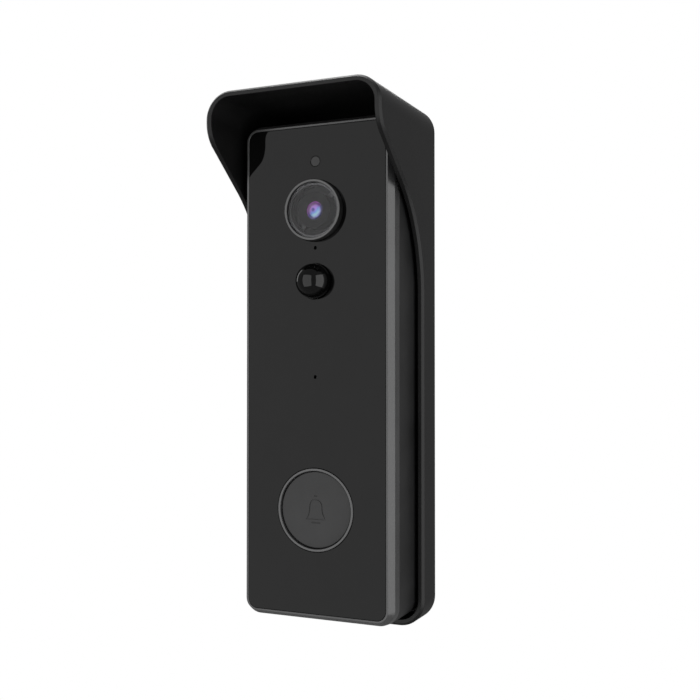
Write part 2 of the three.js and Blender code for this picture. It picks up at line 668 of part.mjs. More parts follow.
// A thin ribbon that leaves the sensor board, drops, and curves forward to the main board.
function cameraRibbon() {
  const thick = 0.2;
  const [start, turnZ, bend] = [SENSOR_BOARD[1] + 0.1, -11, 4];
  const end = BOARD[1] + 0.3;
  const ribbon = new THREE.Shape();
  const [outer, inner] = [bend + thick, bend];
  const bendCentre = behind(start - bend);
  const lower = turnZ - bend - thick;
  ribbon.moveTo(behind(start + thick), -3);
  ribbon.lineTo(behind(start), -3);
  ribbon.absarc(bendCentre, turnZ, inner, 0, -Math.PI / 2, true);
  ribbon.lineTo(behind(end), turnZ - bend);
  ribbon.lineTo(behind(end), lower);
  ribbon.absarc(bendCentre, turnZ, outer, -Math.PI / 2, 0);
  ribbon.closePath();
  return crossPlate(ribbon, -4, 4, 4);
}

const camera = assembly(unit, CAMERA_Z);
add(camera, 'camera_bezel_ring', cameraBezelRing(), finishes.ringGrey);
add(camera, 'camera_cover_glass', disc(8.1, ...GLASS, 0, 0, CAMERA_ROUND), finishes.smokedGlass);
add(camera, 'lens_barrel', lensBarrel(), finishes.chipBlack);
add(camera, 'lens_front_element', lensFrontElement(), finishes.coatedLens);
add(camera, 'lens_holder', lensHolder(), finishes.chipBlack);
add(camera, 'image_sensor', block([-3.2, 3.2], [11.6, 12.35], [-2.6, 2.6]), finishes.smokedGlass);
add(camera, 'image_sensor_board', plate(centredRect(8, 8, 1), ...SENSOR_BOARD), finishes.boardGreen);
add(camera, 'camera_ribbon_cable', cameraRibbon(), finishes.adhesive);
add(camera, 'ir_led_board', ring(5.7, 7.5, ...LED_BOARD), finishes.boardGreen);
for (let i = 0; i < 4; i += 1) {
  const half = 0.75;
  const led = add(camera, `ir_led_${i + 1}`,
    block([-half, half], [1.2, LED_BOARD[0] - GAP], [-half, half]), finishes.clearPlastic);
  const angle = Math.PI / 4 + i * Math.PI / 2;
  led.position.set(6.6 * Math.cos(angle), 0, 6.6 * Math.sin(angle));
  led.rotation.y = -angle;
}

// ---------------------------------------------------------------- motion sensor

const DOME_SHELL = 0.8;

function pirLens() {
  const steps = 5;
  const arc = (radius, from, to) => Array.from({ length: steps + 1 }, (_, i) => {
    const angle = (from + (to - from) * i / steps) * Math.PI / 2;
    return [radius * Math.sin(angle), DOME_CENTRE - radius * Math.cos(angle)];
  });
  const [flange, flangeFront, back] = [6.6, FRONT_WALL[1] + GAP, 3.6];
  const inner = DOME_RADIUS - DOME_SHELL;
  return turned([
    ...arc(DOME_RADIUS, 0, 1), [DOME_RADIUS, flangeFront], [flange, flangeFront],
    [flange, back], [inner, back], ...arc(inner, 1, 0),
  ]);
}

function pirSensor() {
  const can = turned([[0, -0.5], [3.9, -0.5], [4.1, -0.3], [4.1, 2.9], [4.3, 2.9], [4.3, 3.8],
    [0, 3.8]], CELL_ROUND);
  return can.subtract(block([-1.9, 1.9], [-THROUGH, -0.3], [-1.4, 1.4]));
}

const motion = assembly(unit, DOME_Z);
add(motion, 'pir_lens', pirLens(), finishes.domeGloss);
add(motion, 'pir_sensor', pirSensor(), finishes.steel);

// ---------------------------------------------------------------- light sensor, status, sound in

const CHIP_FRONT = 3.2;
const chipBack = BOARD[0] - GAP;

add(assembly(unit, LIGHT_SENSOR_Z), 'light_sensor_window',
  disc(WINDOW_RADIUS, 0.02, FRONT_WALL[1], 0, 0, SMALL_ROUND), finishes.clearPlastic);
add(assembly(unit, LIGHT_SENSOR_Z), 'light_sensor',
  block([-1, 1], [CHIP_FRONT, chipBack], [-1, 1]), finishes.chipBlack);
add(assembly(unit, STATUS_Z), 'status_led',
  block([-1, 1], [CHIP_FRONT, chipBack], [-0.7, 0.7]), finishes.clearPlastic);
add(assembly(unit, MICROPHONE_Z), 'microphone_gasket',
  ring(PINHOLE_RADIUS, 2, 2.25, 2.85, SMALL_ROUND), finishes.blackRubber);
add(assembly(unit, MICROPHONE_Z), 'microphone',
  block([-1.75, 1.75], [FRONT_WALL[1], chipBack], [-1.3, 1.3]), finishes.steel);

// ---------------------------------------------------------------- bell button

const RING_FRONT = -0.2;
const BUTTON_TRAVEL = 0.4;
const SWITCH_TRAVEL = 0.5;
const SWITCH_FLOOR = 0.2;
const FLANGE = { radius: 11.95, front: 1.8, back: 2.3 };
const RING_BACK = 3.6;
const SWITCH_FRONT = 2.75;

// Half of the bell's outline from its crown down to its mouth, mirrored to close it.
function bellShape(size) {
  const bell = new THREE.Shape();
  const p = (x, z) => [x * size, 0.2 + z * size];
  bell.moveTo(...p(0, 3.1));
  bell.bezierCurveTo(...p(1.3, 3.1), ...p(2.1, 2.2), ...p(2.15, 0.7));
  bell.quadraticCurveTo(...p(2.2, -1.7), ...p(3.3, -3.1));
  bell.lineTo(...p(-3.3, -3.1));
  bell.quadraticCurveTo(...p(-2.2, -1.7), ...p(-2.15, 0.7));
  bell.bezierCurveTo(...p(-2.1, 2.2), ...p(-1.3, 3.1), ...p(0, 3.1));
  return bell;
}

function buttonCap() {
  const engraving = 0.2;
  const cap = turned([
    [0, BUTTON_FACE], [BUTTON_RADIUS - 0.3, BUTTON_FACE], [BUTTON_RADIUS, BUTTON_FACE + 0.3],
    [BUTTON_RADIUS, FLANGE.front], [FLANGE.radius, FLANGE.front], [FLANGE.radius, FLANGE.back],
    [0, FLANGE.back],
  ], BUTTON_ROUND);
  const cutDepths = [-THROUGH, BUTTON_FACE + engraving];
  const bell = plate(bellShape(1), ...cutDepths, 5)
    .subtract(plate(bellShape(0.86), cutDepths[0] - THROUGH, cutDepths[1] + THROUGH, 5));
  const clapper = block([-1.45, 1.45], cutDepths, [-4, -3.6]);
  const knob = block([-0.5, 0.5], cutDepths, [4.15, 4.6]);
  return cut(cap, bell, clapper, knob);
}

function buttonRing() {
  return turned([
    [BUTTON_RADIUS + 0.2, RING_FRONT], [BUTTON_RING_RADIUS, RING_FRONT],
    [BUTTON_RING_RADIUS, FRONT_WALL[1] + GAP], [13.3, FRONT_WALL[1] + GAP], [13.3, RING_BACK],
    [FLANGE.radius + FIT, RING_BACK], [FLANGE.radius + FIT, FLANGE.front - GAP],
    [BUTTON_RADIUS + 0.2, FLANGE.front - GAP], [BUTTON_RADIUS + 0.2, RING_FRONT],
  ], BUTTON_ROUND);
}

function tactSwitchBody() {
  const half = 2.25;
  return cut(block([-half, half], [SWITCH_FRONT, chipBack], [-half, half]),
    disc(1.1, SWITCH_FRONT - THROUGH, chipBack - SWITCH_FLOOR, 0, 0, SMALL_ROUND));
}

const bell = assembly(unit, BUTTON_Z);
add(bell, 'button_ring', buttonRing(), finishes.ringGrey);
add(bell, 'button_cap', buttonCap(), finishes.buttonPlastic);
add(bell, 'button_seal', ring(7.5, 11.3, FLANGE.back + BUTTON_TRAVEL + 0.1, 3.8),
  finishes.blackRubber);
add(bell, 'tact_switch_body', tactSwitchBody(), finishes.chipBlack);
add(bell, 'tact_switch_stem',
  disc(1, FLANGE.back + GAP, chipBack - SWITCH_FLOOR - SWITCH_TRAVEL - GAP, 0, 0, SMALL_ROUND),
  finishes.steel);

// ---------------------------------------------------------------- main board

function mainBoard() {
  const halfWidth = cavityHalfWidth - 0.3;
  let board = plate(centredRect(halfWidth, heightFor(halfWidth), 2.4), ...BOARD);
  board = board.subtract(disc(7, BOARD[0] - THROUGH, BOARD[1] + THROUGH, 0, CAMERA_Z));
  for (const [x, z] of Object.values(CASE_SCREWS)) {
    board = board.subtract(disc(FRONT_POST.radius + 0.3, BOARD[0] - THROUGH, BOARD[1] + THROUGH,
      x, z, SCREW_ROUND));
  }
  return board;
}

add(unit, 'main_board', mainBoard(), finishes.boardGreen);
add(unit, 'processor_chip', block([-16, -6], [BOARD[1] + GAP, 6.1], [22, 32]),
  finishes.chipBlack);
add(unit, 'wifi_module', block([6, 18], [BOARD[1] + GAP, 7.4], [20.5, 36.5]), finishes.steel);
add(unit, 'wifi_antenna', block([-16, 16], [9, 17], [72.3, 72.9]), finishes.brass);

// ---------------------------------------------------------------- batteries

const CELL_BOTTOM = -49.5;
const CELL_TOP = CELL_BOTTOM + CELL_LENGTH;
const NUB = 1;

function batteryCell() {
  return turnedUpright([
    [0, CELL_BOTTOM], [CELL_RADIUS - 0.5, CELL_BOTTOM], [CELL_RADIUS, CELL_BOTTOM + 0.5],
    [CELL_RADIUS, CELL_TOP - 2.4], [CELL_RADIUS - 0.4, CELL_TOP - 1.9],
    [CELL_RADIUS, CELL_TOP - 1.4], [CELL_RADIUS, CELL_TOP], [3, CELL_TOP],
    [3, CELL_TOP + NUB], [0, CELL_TOP + NUB],
  ], 0, CELL_DEPTH, CELL_ROUND);
}

function positiveContact() {
  const nubTop = CELL_TOP + NUB + 0.1;
  return turnedUpright([[0, nubTop], [1.6, nubTop], [1.6, 16.4], [3.6, 16.4],
    [3.6, BAY_TOP - GAP], [0, BAY_TOP - GAP]], 0, CELL_DEPTH, SCREW_ROUND);
}

// A conical spring: a wire on a helix that narrows from the bay's end to the cell.
class ConeHelix extends THREE.Curve {
  getPoint(t, target = new THREE.Vector3()) {
    const [turns, wide, narrow, wire] = [3, 4.6, 2.4, 0.35];
    const angle = 2 * Math.PI * turns * t;
    const radius = wide + (narrow - wide) * t;
    const bottom = BAY_BOTTOM + wire + GAP;
    const top = CELL_BOTTOM - wire - GAP;
    return target.set(radius * Math.cos(angle), radius * Math.sin(angle),
      bottom + (top - bottom) * t);
  }
}

function negativeSpring() {
  const wire = new THREE.Shape();
  wire.absarc(0, 0, 0.3, 0, 2 * Math.PI);
  const geometry = new THREE.ExtrudeGeometry(wire, {
    steps: 42, curveSegments: 2, extrudePath: new ConeHelix(),
  });
  return solid(geometry.translate(0, behind(CELL_DEPTH), 0));
}

for (const [side, x] of [['left', -CELL_X], ['right', CELL_X]]) {
  const row = new THREE.Group();
  row.position.x = x;
  unit.add(row);
  add(row, `battery_cell_${side}`, batteryCell(), finishes.cellWrap);
  add(row, `positive_contact_${side}`, positiveContact(), finishes.steel);
  add(row, `negative_spring_${side}`, negativeSpring(), finishes.steel);
}

// ---------------------------------------------------------------- speaker

const SPEAKER = { halfX: 4.6, halfDepth: 7, bottom: -72.9, top: -69.7 };

// A flat rounded box under the casing's floor, its outline drawn across x and depth.
function speakerSlab(inset, bottom, top) {
  const shape = centredRect(SPEAKER.halfX - inset, SPEAKER.halfDepth - inset, 2.4 - inset / 2);
  const geometry = new THREE.ExtrudeGeometry(shape, {
    depth: top - bottom, bevelEnabled: false, curveSegments: 3,
  });
  return solid(geometry.translate(SPEAKER_X, behind(SPEAKER_DEPTH), bottom));
}

add(unit, 'speaker_frame', speakerSlab(0, SPEAKER.bottom, SPEAKER.top)
  .subtract(speakerSlab(0.7, SPEAKER.bottom - THROUGH, SPEAKER.top - 0.5)), finishes.chipBlack);
add(unit, 'speaker_cone', speakerSlab(0.8, -72.6, -72.3).add(speakerSlab(2.6, -72.8, -72.5)),
  finishes.adhesive);
add(unit, 'speaker_magnet', speakerSlab(1.8, -71.9, SPEAKER.top - 0.55), finishes.steel);

// ---------------------------------------------------------------- charging port and reset

const PORT = { halfX: 4.47, halfDepth: 1.63, bottom: -73.1, top: -65.8, shell: 0.3 };
const USB_BOARD = [12.9, 13.9];

function usbBoard() {
  const board = block([-11, 11], USB_BOARD, [-72, -58.6]);
  const resetSwitch = block([RESET_X - 2, RESET_X + 2], [9.4, USB_BOARD[0] + 0.2], [-71, -67]);
  return board.add(resetSwitch);
}

function usbPort() {
  const slab = (halfX, halfDepth, bottom, top) => block([USB_X - halfX, USB_X + halfX],
    [USB_DEPTH - halfDepth, USB_DEPTH + halfDepth], [bottom, top]);
  const shell = slab(PORT.halfX, PORT.halfDepth, PORT.bottom, PORT.top)
    .subtract(slab(PORT.halfX - PORT.shell, PORT.halfDepth - PORT.shell,
      PORT.bottom - THROUGH, PORT.top - 1));
  return shell.add(slab(3.3, 0.35, PORT.bottom + 0.6, PORT.top - 0.5));
}

// A soft flap that lies flush in the casing's bottom. Its front edge is round, on the pivot.
function usbFlap() {
  const half = FLAP_THICK / 2;
  const pivotY = behind(FLAP_FRONT + half);
  const section = new THREE.Shape();
  section.absarc(pivotY, FLAP_PIVOT_Z, half, Math.PI / 2, 1.5 * Math.PI);
  section.lineTo(behind(FLAP_BACK), FLAP_PIVOT_Z - half);
  section.lineTo(behind(FLAP_BACK), FLAP_PIVOT_Z + half);
  section.closePath();
  const plug = block([USB_X - 3.9, USB_X + 3.9], [USB_DEPTH - 1.3, USB_DEPTH + 1.1],
    [FLAP_PIVOT_Z, bodyBottom + CASING_WALL]);
  return crossPlate(section, -FLAP_HALF_WIDTH, FLAP_HALF_WIDTH).add(plug);
}

function resetButton() {
  const wallTop = bodyBottom + CASING_WALL;
  return turnedUpright([[0, -73.75], [1.15, -73.75], [1.15, wallTop + 0.1], [1.9, wallTop + 0.1],
    [1.9, wallTop + 0.5], [1, wallTop + 0.5], [1, -71.6], [0, -71.6]], RESET_X, USB_DEPTH, SMALL_ROUND);
}

add(unit, 'usb_board', usbBoard(), finishes.boardGreen);
add(unit, 'usb_port', usbPort(), finishes.steel);
add(unit, 'usb_flap', usbFlap(), finishes.blackRubber);
add(unit, 'reset_button', resetButton(), finishes.chipBlack);
add(unit, 'security_nut', turnedUpright([
  [1.6, -73.1], [2.4, -73.1], [2.4, -70.8], [2.2, -70.6], [2.4, -70.4], [2.4, -68], [1.6, -68],
  [1.6, -73.1],
], 0, SECURITY_DEPTH), finishes.brass);

export default doorbell;
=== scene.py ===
# Video doorbell in a rain hood: its fine surfaces, materials, light and camera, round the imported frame.
import math

import bmesh
import bpy
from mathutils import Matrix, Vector


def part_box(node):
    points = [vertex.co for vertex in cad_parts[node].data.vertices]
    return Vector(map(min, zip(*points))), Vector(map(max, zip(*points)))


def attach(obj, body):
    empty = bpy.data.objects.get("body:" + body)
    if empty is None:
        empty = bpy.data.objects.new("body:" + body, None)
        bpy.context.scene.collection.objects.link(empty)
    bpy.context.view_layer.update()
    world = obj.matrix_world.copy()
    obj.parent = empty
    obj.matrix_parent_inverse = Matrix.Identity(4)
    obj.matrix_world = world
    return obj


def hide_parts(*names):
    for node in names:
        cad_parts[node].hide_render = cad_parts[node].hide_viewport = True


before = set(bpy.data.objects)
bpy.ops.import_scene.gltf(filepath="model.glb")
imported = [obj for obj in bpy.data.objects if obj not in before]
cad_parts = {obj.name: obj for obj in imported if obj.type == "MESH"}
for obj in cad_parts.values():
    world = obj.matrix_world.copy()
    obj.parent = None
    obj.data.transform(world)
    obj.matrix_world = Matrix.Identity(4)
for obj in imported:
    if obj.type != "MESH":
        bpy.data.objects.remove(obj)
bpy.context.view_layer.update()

# ---------------------------------------------------------------- sizes
# Shapes are worked out in millimetres and made in metres. X runs across, +Y into the wall, +Z up.
# A depth is counted from the face of the front panel, towards the wall.

MM = 0.001


def span(node):
    """The node's ranges along X, Y and Z in millimetres."""
    low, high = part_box(node)
    return [(low[i] / MM, high[i] / MM) for i in range(3)]


def middle(node, axis):
    low, high = span(node)[axis]
    return (low + high) / 2


FACE = span("front_panel")[1][0]


def at(depth):
    return FACE + depth


def depths(node):
    return [y - FACE for y in span(node)[1]]


BODY_HALF = span("rear_casing")[0][1]
BODY_TOP = span("rear_casing")[2][1]
REAR_FRONT, BODY_DEPTH = depths("rear_casing")
PANEL_HALF = span("front_panel")[0][1]
PANEL_THICK = depths("front_panel")[1]
HOOD_HALF = span("rain_hood")[0][1]
HOOD_BOTTOM, HOOD_TOP = span("rain_hood")[2]
VISOR_DEPTH, WALL_DEPTH = depths("rain_hood")

CAMERA_Z = middle("camera_bezel_ring", 2)
DOME_Z = middle("pir_lens", 2)
BUTTON_Z = middle("button_ring", 2)
WINDOW_Z = middle("light_sensor_window", 2)
STATUS_Z = middle("status_led", 2)
MICROPHONE_Z = middle("microphone", 2)

CORNER_FROM_HALF = 19.67  # a body outline's corner radius is its half width less this
RIM_HALF = 23.35
BEVEL = (24.7, 2.35)
PARTING_DEPTH = REAR_FRONT - 0.1
FRONT_WALL = (1.78, 2.9)
SHOULDER = FRONT_WALL[1] + 0.05  # where parts held behind the front wall bear on it
PANEL_GAP = 0.07
PAST = 1  # how far a cutter reaches past the face that it opens

HOOD_CORNER = 8
HOOD_WALL = 2
HOOD_ROOF = 1.8
HOOD_BACK = 25.8
TRAY_DEPTH = 17.1
SWEEP_RADIUS = 40.5
SWEEP_START = 22.5
SWEEP_ANGLE = math.radians(52.4)
LIP_RADIUS = 9

CORNER_STEPS = 14
FINE_ROUND = 128
ROUND = 96
SMALL_ROUND = 48
CREASE_ANGLE = 35

# ---------------------------------------------------------------- mesh helpers


def mesh_object(name, bm):
    """An object in the scene from a bmesh in millimetres, its faces turned outward."""
    bmesh.ops.recalc_face_normals(bm, faces=bm.faces)
    bmesh.ops.scale(bm, vec=(MM, MM, MM), verts=bm.verts)
    mesh = bpy.data.meshes.new(name)
    bm.to_mesh(mesh)
    bm.free()
    made = bpy.data.objects.new(name, mesh)
    bpy.context.scene.collection.objects.link(made)
    return made


def skin(name, loops):
    """A solid through loops of points that match one to one, capped at its ends."""
    bm = bmesh.new()
    rows = [[bm.verts.new(point) for point in loop] for loop in loops]
    count = len(rows[0])
    for near, far in zip(rows, rows[1:]):
        for i in range(count):
            j = (i + 1) % count
            bm.faces.new((near[i], near[j], far[j], far[i]))
    bm.faces.new(rows[0])
    bm.faces.new(rows[-1])
    return mesh_object(name, bm)


def quarter(steps):
    """Angles from 0 to a right angle."""
    return [math.radians(90 * i / steps) for i in range(steps + 1)]


def rect_outline(half, bottom, top, corner, side_heights=()):
    """Points (x, z) round a rectangle with round corners, with extra points at heights on its sides."""
    points = []

    def arc(x, z, start):
        for i in range(CORNER_STEPS + 1):
            angle = math.radians(start + 90 * i / CORNER_STEPS)
            points.append((x + corner * math.cos(angle), z + corner * math.sin(angle)))

    arc(half - corner, bottom + corner, -90)
    points.extend((half, z) for z in side_heights)
    arc(half - corner, top - corner, 0)
    arc(corner - half, top - corner, 90)
    points.extend((-half, z) for z in reversed(side_heights))
    arc(corner - half, bottom + corner, 180)
    return points


def body_outline(half):
    """The doorbell's own outline, offset so that it has this half width."""
    height = BODY_TOP - BODY_HALF + half
    return rect_outline(half, -height, height, max(half - CORNER_FROM_HALF, 0.4))


def body_loft(name, profile):
    """A solid whose outline keeps the body's shape. The profile is a list of (half width, depth)."""
    return skin(name, [[(x, at(depth), z) for x, z in body_outline(half)] for half, depth in profile])


def rounded(points, radius, steps=4):
    """A path of 2D points with its inner corners rounded. radius is one number or one for each corner."""
    radii = radius if isinstance(radius, (list, tuple)) else [radius] * (len(points) - 2)
    path = [points[0]]
    for before, corner, after, size in zip(points, points[1:], points[2:], radii):
        p, q, r = Vector(before), Vector(corner), Vector(after)
        into, out = (p - q).normalized(), (r - q).normalized()
        half_angle = into.angle(out) / 2
        reach = min(size / math.tan(half_angle), 0.45 * min((p - q).length, (r - q).length))
        if reach < 1e-4 or half_angle > math.radians(88):
            path.append(corner)
            continue
        start, end = q + into * reach, q + out * reach
        for i in range(steps + 1):
            t = i / steps
            near, far = start.lerp(q, t), q.lerp(end, t)
            path.append(tuple(near.lerp(far, t)))
    path.append(points[-1])
    return path


def turned(name, profile, x=0.0, z=0.0, segments=ROUND, closed=False, upright=False, depth=0.0):
    """A turned solid. The profile is a list of (radius, depth), or (radius, z) where it stands upright."""

    def place(radius, along, angle):
        if upright:
            return (x + radius * math.cos(angle), at(depth) + radius * math.sin(angle), along)
        return (x + radius * math.cos(angle), at(along), z + radius * math.sin(angle))

    bm = bmesh.new()
    rows = []
    for radius, along in profile:
        if radius < 1e-6:
            rows.append([bm.verts.new(place(0, along, 0))])
        else:
            rows.append([bm.verts.new(place(radius, along, 2 * math.pi * i / segments))
                         for i in range(segments)])
    pairs = list(zip(rows, rows[1:])) + ([(rows[-1], rows[0])] if closed else [])
    for near, far in pairs:
        for i in range(segments):
            j = (i + 1) % segments
            if len(near) == 1 and len(far) == 1:
                continue
            if len(near) == 1:
                bm.faces.new((near[0], far[j], far[i]))
            elif len(far) == 1:
                bm.faces.new((near[i], near[j], far[0]))
            else:
                bm.faces.new((near[i], near[j], far[j], far[i]))
    if not closed:
        for row in (rows[0], rows[-1]):
            if len(row) > 1:
                bm.faces.new(row)
    return mesh_object(name, bm)


def disc(radius, front, back, x=0.0, z=0.0, flare=0.0, segments=SMALL_ROUND):
    """A round bar along the depth. flare chamfers its front at 45 degrees, down to that depth."""
    profile = [(0, front), (radius, front), (radius, back), (0, back)]
    if flare:
        profile = [(0, front), (radius + flare - front, front), (radius, flare), (radius, back), (0, back)]
    return turned("cutter", profile, x, z, segments)


def post(radius, bottom, top, x, depth):
    """An upright round bar."""
    profile = [(0, bottom), (radius, bottom), (radius, top), (0, top)]
    return turned("cutter", profile, x=x, depth=depth, segments=SMALL_ROUND, upright=True)


def brick(name, across, deep, high, edge=0.0):
    """A block between ranges of x, depth and z, its edges rounded by edge."""
    bm = bmesh.new()
    bmesh.ops.create_cube(bm, size=1.0)
    lows = Vector((across[0], at(deep[0]), high[0]))
    highs = Vector((across[1], at(deep[1]), high[1]))
    for vert in bm.verts:
        vert.co = Vector([lows[i] + (vert.co[i] + 0.5) * (highs[i] - lows[i]) for i in range(3)])
    if edge:
        bmesh.ops.bevel(bm, geom=list(bm.edges), offset=edge, segments=3, profile=0.5, affect="EDGES",
                        clamp_overlap=True)
    return mesh_object(name, bm)


def slab(name, outline, front, back):
    """A flat piece with this outline of (x, z) between two depths."""
    return skin(name, [[(x, at(depth), z) for x, z in outline] for depth in (front, back)])


def boolean(target, others, operation):
    """Joins or cuts target with the others, which are used up."""
    for other in others:
        modifier = target.modifiers.new(operation.lower(), "BOOLEAN")
        modifier.operation = operation
        modifier.solver = "EXACT"
        modifier.object = other
        bpy.context.view_layer.update()
        result = bpy.data.meshes.new_from_object(
            target.evaluated_get(bpy.context.evaluated_depsgraph_get()))
        target.modifiers.clear()
        old = target.data
        target.data = result
        bpy.data.meshes.remove(old)
        bpy.data.objects.remove(other)
    return target


def carve(target, *others):
    return boolean(target, others, "DIFFERENCE")


def unite(target, *others):
    return boolean(target, others, "UNION")


def shade(piece):
    """Smooth shading with creases at sharp edges, and flat faces kept flat next to their rounded edges."""
    piece.data.shade_smooth()
    piece.data.set_sharp_from_angle(angle=math.radians(CREASE_ANGLE))
    weighted = piece.modifiers.new("flat_faces", "WEIGHTED_NORMAL")
    weighted.keep_sharp = True


def finish(piece, name, body, material, replaces):
    """Names a piece, gives it its material, and ties it to the frame."""
    piece.name = name
    piece.data.name = name
    piece.data.materials.clear()
    piece.data.materials.append(material)
    shade(piece)
    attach(piece, body)
    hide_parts(*replaces)


# ---------------------------------------------------------------- material helpers


class Graph:
    """A new material's node tree, with short calls for the nodes that the surfaces share."""

    def __init__(self, name):
        self.material = bpy.data.materials.new(name)
        self.material.use_nodes = True
        self.tree = self.material.node_tree
        self.shader = self.tree.nodes["Principled BSDF"]
        coordinates = self.tree.nodes.new("ShaderNodeTexCoord")
        self.place = coordinates.outputs["Object"]

    def link(self, source, target):
        self.tree.links.new(source, target)

    def set(self, **values):
        for socket, value in values.items():
            self.shader.inputs[socket.replace("_", " ")].default_value = value

    def mapped(self, location=(0, 0, 0), scale=(1, 1, 1)):
        """Object coordinates moved by location (mm) and stretched by scale."""
        mapping = self.tree.nodes.new("ShaderNodeMapping")
        mapping.vector_type = "TEXTURE"
        mapping.inputs["Location"].default_value = [v * MM for v in location]
        mapping.inputs["Scale"].default_value = scale
        self.link(self.place, mapping.inputs["Vector"])
        return mapping.outputs["Vector"]

    def noise(self, size, detail=3.0, rough=0.5, vector=None, distortion=0.0):
        """Noise whose features are about size millimetres across."""
        node = self.tree.nodes.new("ShaderNodeTexNoise")
        node.inputs["Scale"].default_value = 1 / (size * MM)
        node.inputs["Detail"].default_value = detail
        node.inputs["Roughness"].default_value = rough
        node.inputs["Distortion"].default_value = distortion
        self.link(vector or self.place, node.inputs["Vector"])
        return node.outputs["Fac"]

    def cells(self, size):
        """Distance from the middle of cells about size millimetres across."""
        node = self.tree.nodes.new("ShaderNodeTexVoronoi")
        node.inputs["Scale"].default_value = 1 / (size * MM)
        self.link(self.place, node.inputs["Vector"])
        return node.outputs["Distance"]

    def remap(self, source, low, high, from_low=0.3, from_high=0.7):
        node = self.tree.nodes.new("ShaderNodeMapRange")
        node.inputs["From Min"].default_value = from_low
        node.inputs["From Max"].default_value = from_high
        node.inputs["To Min"].default_value = low
        node.inputs["To Max"].default_value = high
        self.link(source, node.inputs["Value"])
        return node.outputs["Result"]

    def math(self, operation, first, second):
        node = self.tree.nodes.new("ShaderNodeMath")
        node.operation = operation
        for socket, value in zip(node.inputs, (first, second)):
            if isinstance(value, (int, float)):
                socket.default_value = value
            else:
                self.link(value, socket)
        return node.outputs["Value"]

    def ramp(self, source, stops):
        """Colours at places from 0 to 1."""
        node = self.tree.nodes.new("ShaderNodeValToRGB")
        elements = node.color_ramp.elements
        while len(elements) < len(stops):
            elements.new(0.5)
        for element, (place, colour) in zip(elements, stops):
            element.position = place
            element.color = (*colour, 1)
        self.link(source, node.inputs["Fac"])
        return node.outputs["Color"]

    def blend(self, factor, first, second):
        """A colour between two, by a factor. Each is a colour or a socket."""
        node = self.tree.nodes.new("ShaderNodeMix")
        node.data_type = "RGBA"
        for socket, value in ((node.inputs[6], first), (node.inputs[7], second)):
            if isinstance(value, tuple):
                socket.default_value = (*value, 1)
            else:
                self.link(value, socket)
        self.link(factor, node.inputs["Factor"])
        return node.outputs[2]

    def bump(self, height, depth, under=None):
        """Relief of this depth in millimetres, on top of the relief under it."""
        node = self.tree.nodes.new("ShaderNodeBump")
        node.inputs["Distance"].default_value = depth * MM
        self.link(height, node.inputs["Height"])
        if under:
            self.link(under, node.inputs["Normal"])
        return node.outputs["Normal"]

    def colour(self, source):
        self.link(source, self.shader.inputs["Base Color"])

    def tint(self, source, first, second):
        """A base colour that goes from one to the other with a noise."""
        self.colour(self.blend(self.remap(source, 0.0, 1.0), first, second))

    def roughness(self, source):
        self.link(source, self.shader.inputs["Roughness"])

    def normal(self, source):
        self.link(source, self.shader.inputs["Normal"])


def grey(value):
    """A dark neutral, very slightly blue."""
    return (value, value, value * 1.02)


def scaled(colour, factor, lift=0.0):
    return tuple(c * factor + lift for c in colour)


def moulded(name, colour, roughness, grain, relief, ior=1.46, patch=14.0):
    """Moulded plastic: a fine spark-eroded grain under soft, lighter flow patches."""
    g = Graph(name)
    flow = g.noise(patch, detail=2.0)
    fine = g.noise(grain, detail=2.0, rough=0.6)
    speckled_base = g.blend(g.remap(fine, 0.0, 1.0), scaled(colour, 0.8), colour)
    g.tint(flow, speckled_base, scaled(colour, 1.35, 0.001))
    mottled = g.math("ADD", g.remap(fine, -0.05, 0.05), g.remap(flow, -0.03, 0.03))
    g.roughness(g.math("ADD", mottled, roughness))
    g.normal(g.bump(fine, relief))
    g.set(IOR=ior)
    return g.material


def gloss(name, colour, roughness, ior, ripple=0.0006):
    """A polished black face: almost a mirror, with a faint orange peel and smears."""
    g = Graph(name)
    smear = g.noise(9.0, detail=4.0, distortion=0.6)
    peel = g.noise(1.8, detail=1.0)
    g.tint(smear, colour, scaled(colour, 1.5, 0.0004))
    g.roughness(g.remap(smear, roughness, roughness + 0.02))
    g.normal(g.bump(peel, ripple))
    g.set(IOR=ior)
    return g.material


def metal(name, colour, roughness, brushed):
    """Plated metal, with fine drawing marks. brushed stretches them along one direction."""
    g = Graph(name)
    marks = g.noise(0.35, detail=3.0, vector=g.mapped(scale=brushed))
    tarnish = g.noise(3.0, detail=3.0)
    g.tint(tarnish, colour, scaled(colour, 0.8))
    g.roughness(g.math("ADD", g.remap(marks, -0.08, 0.12), roughness))
    g.normal(g.bump(marks, 0.004))
    g.set(Metallic=1.0)
    return g.material


def rubber(name, colour, roughness=0.72):
    """A matt, slightly bloomed rubber."""
    g = Graph(name)
    fine = g.noise(0.15, detail=3.0)
    bloom = g.noise(5.0, detail=3.0)
    g.tint(bloom, colour, scaled(colour, 1.6, 0.002))
    g.roughness(g.math("ADD", g.remap(bloom, -0.06, 0.06), roughness))
    g.normal(g.bump(fine, 0.01))
    return g.material


def circuit_board():
    """Green solder mask over tracks, with gold pads and a slight weave."""
    g = Graph("circuit_board")
    tracks = g.cells(1.6)
    weave = g.noise(0.3, detail=2.0)
    lanes = g.ramp(tracks, [(0.0, (0.55, 0.38, 0.1)), (0.1, (0.5, 0.34, 0.09)), (0.13, (0.006, 0.07, 0.03)),
                            (0.36, (0.01, 0.11, 0.05)), (0.44, (0.005, 0.055, 0.026))])
    g.colour(lanes)
    g.roughness(g.remap(weave, 0.28, 0.42))
    g.normal(g.bump(tracks, 0.03, under=g.bump(weave, 0.008)))
    return g.material


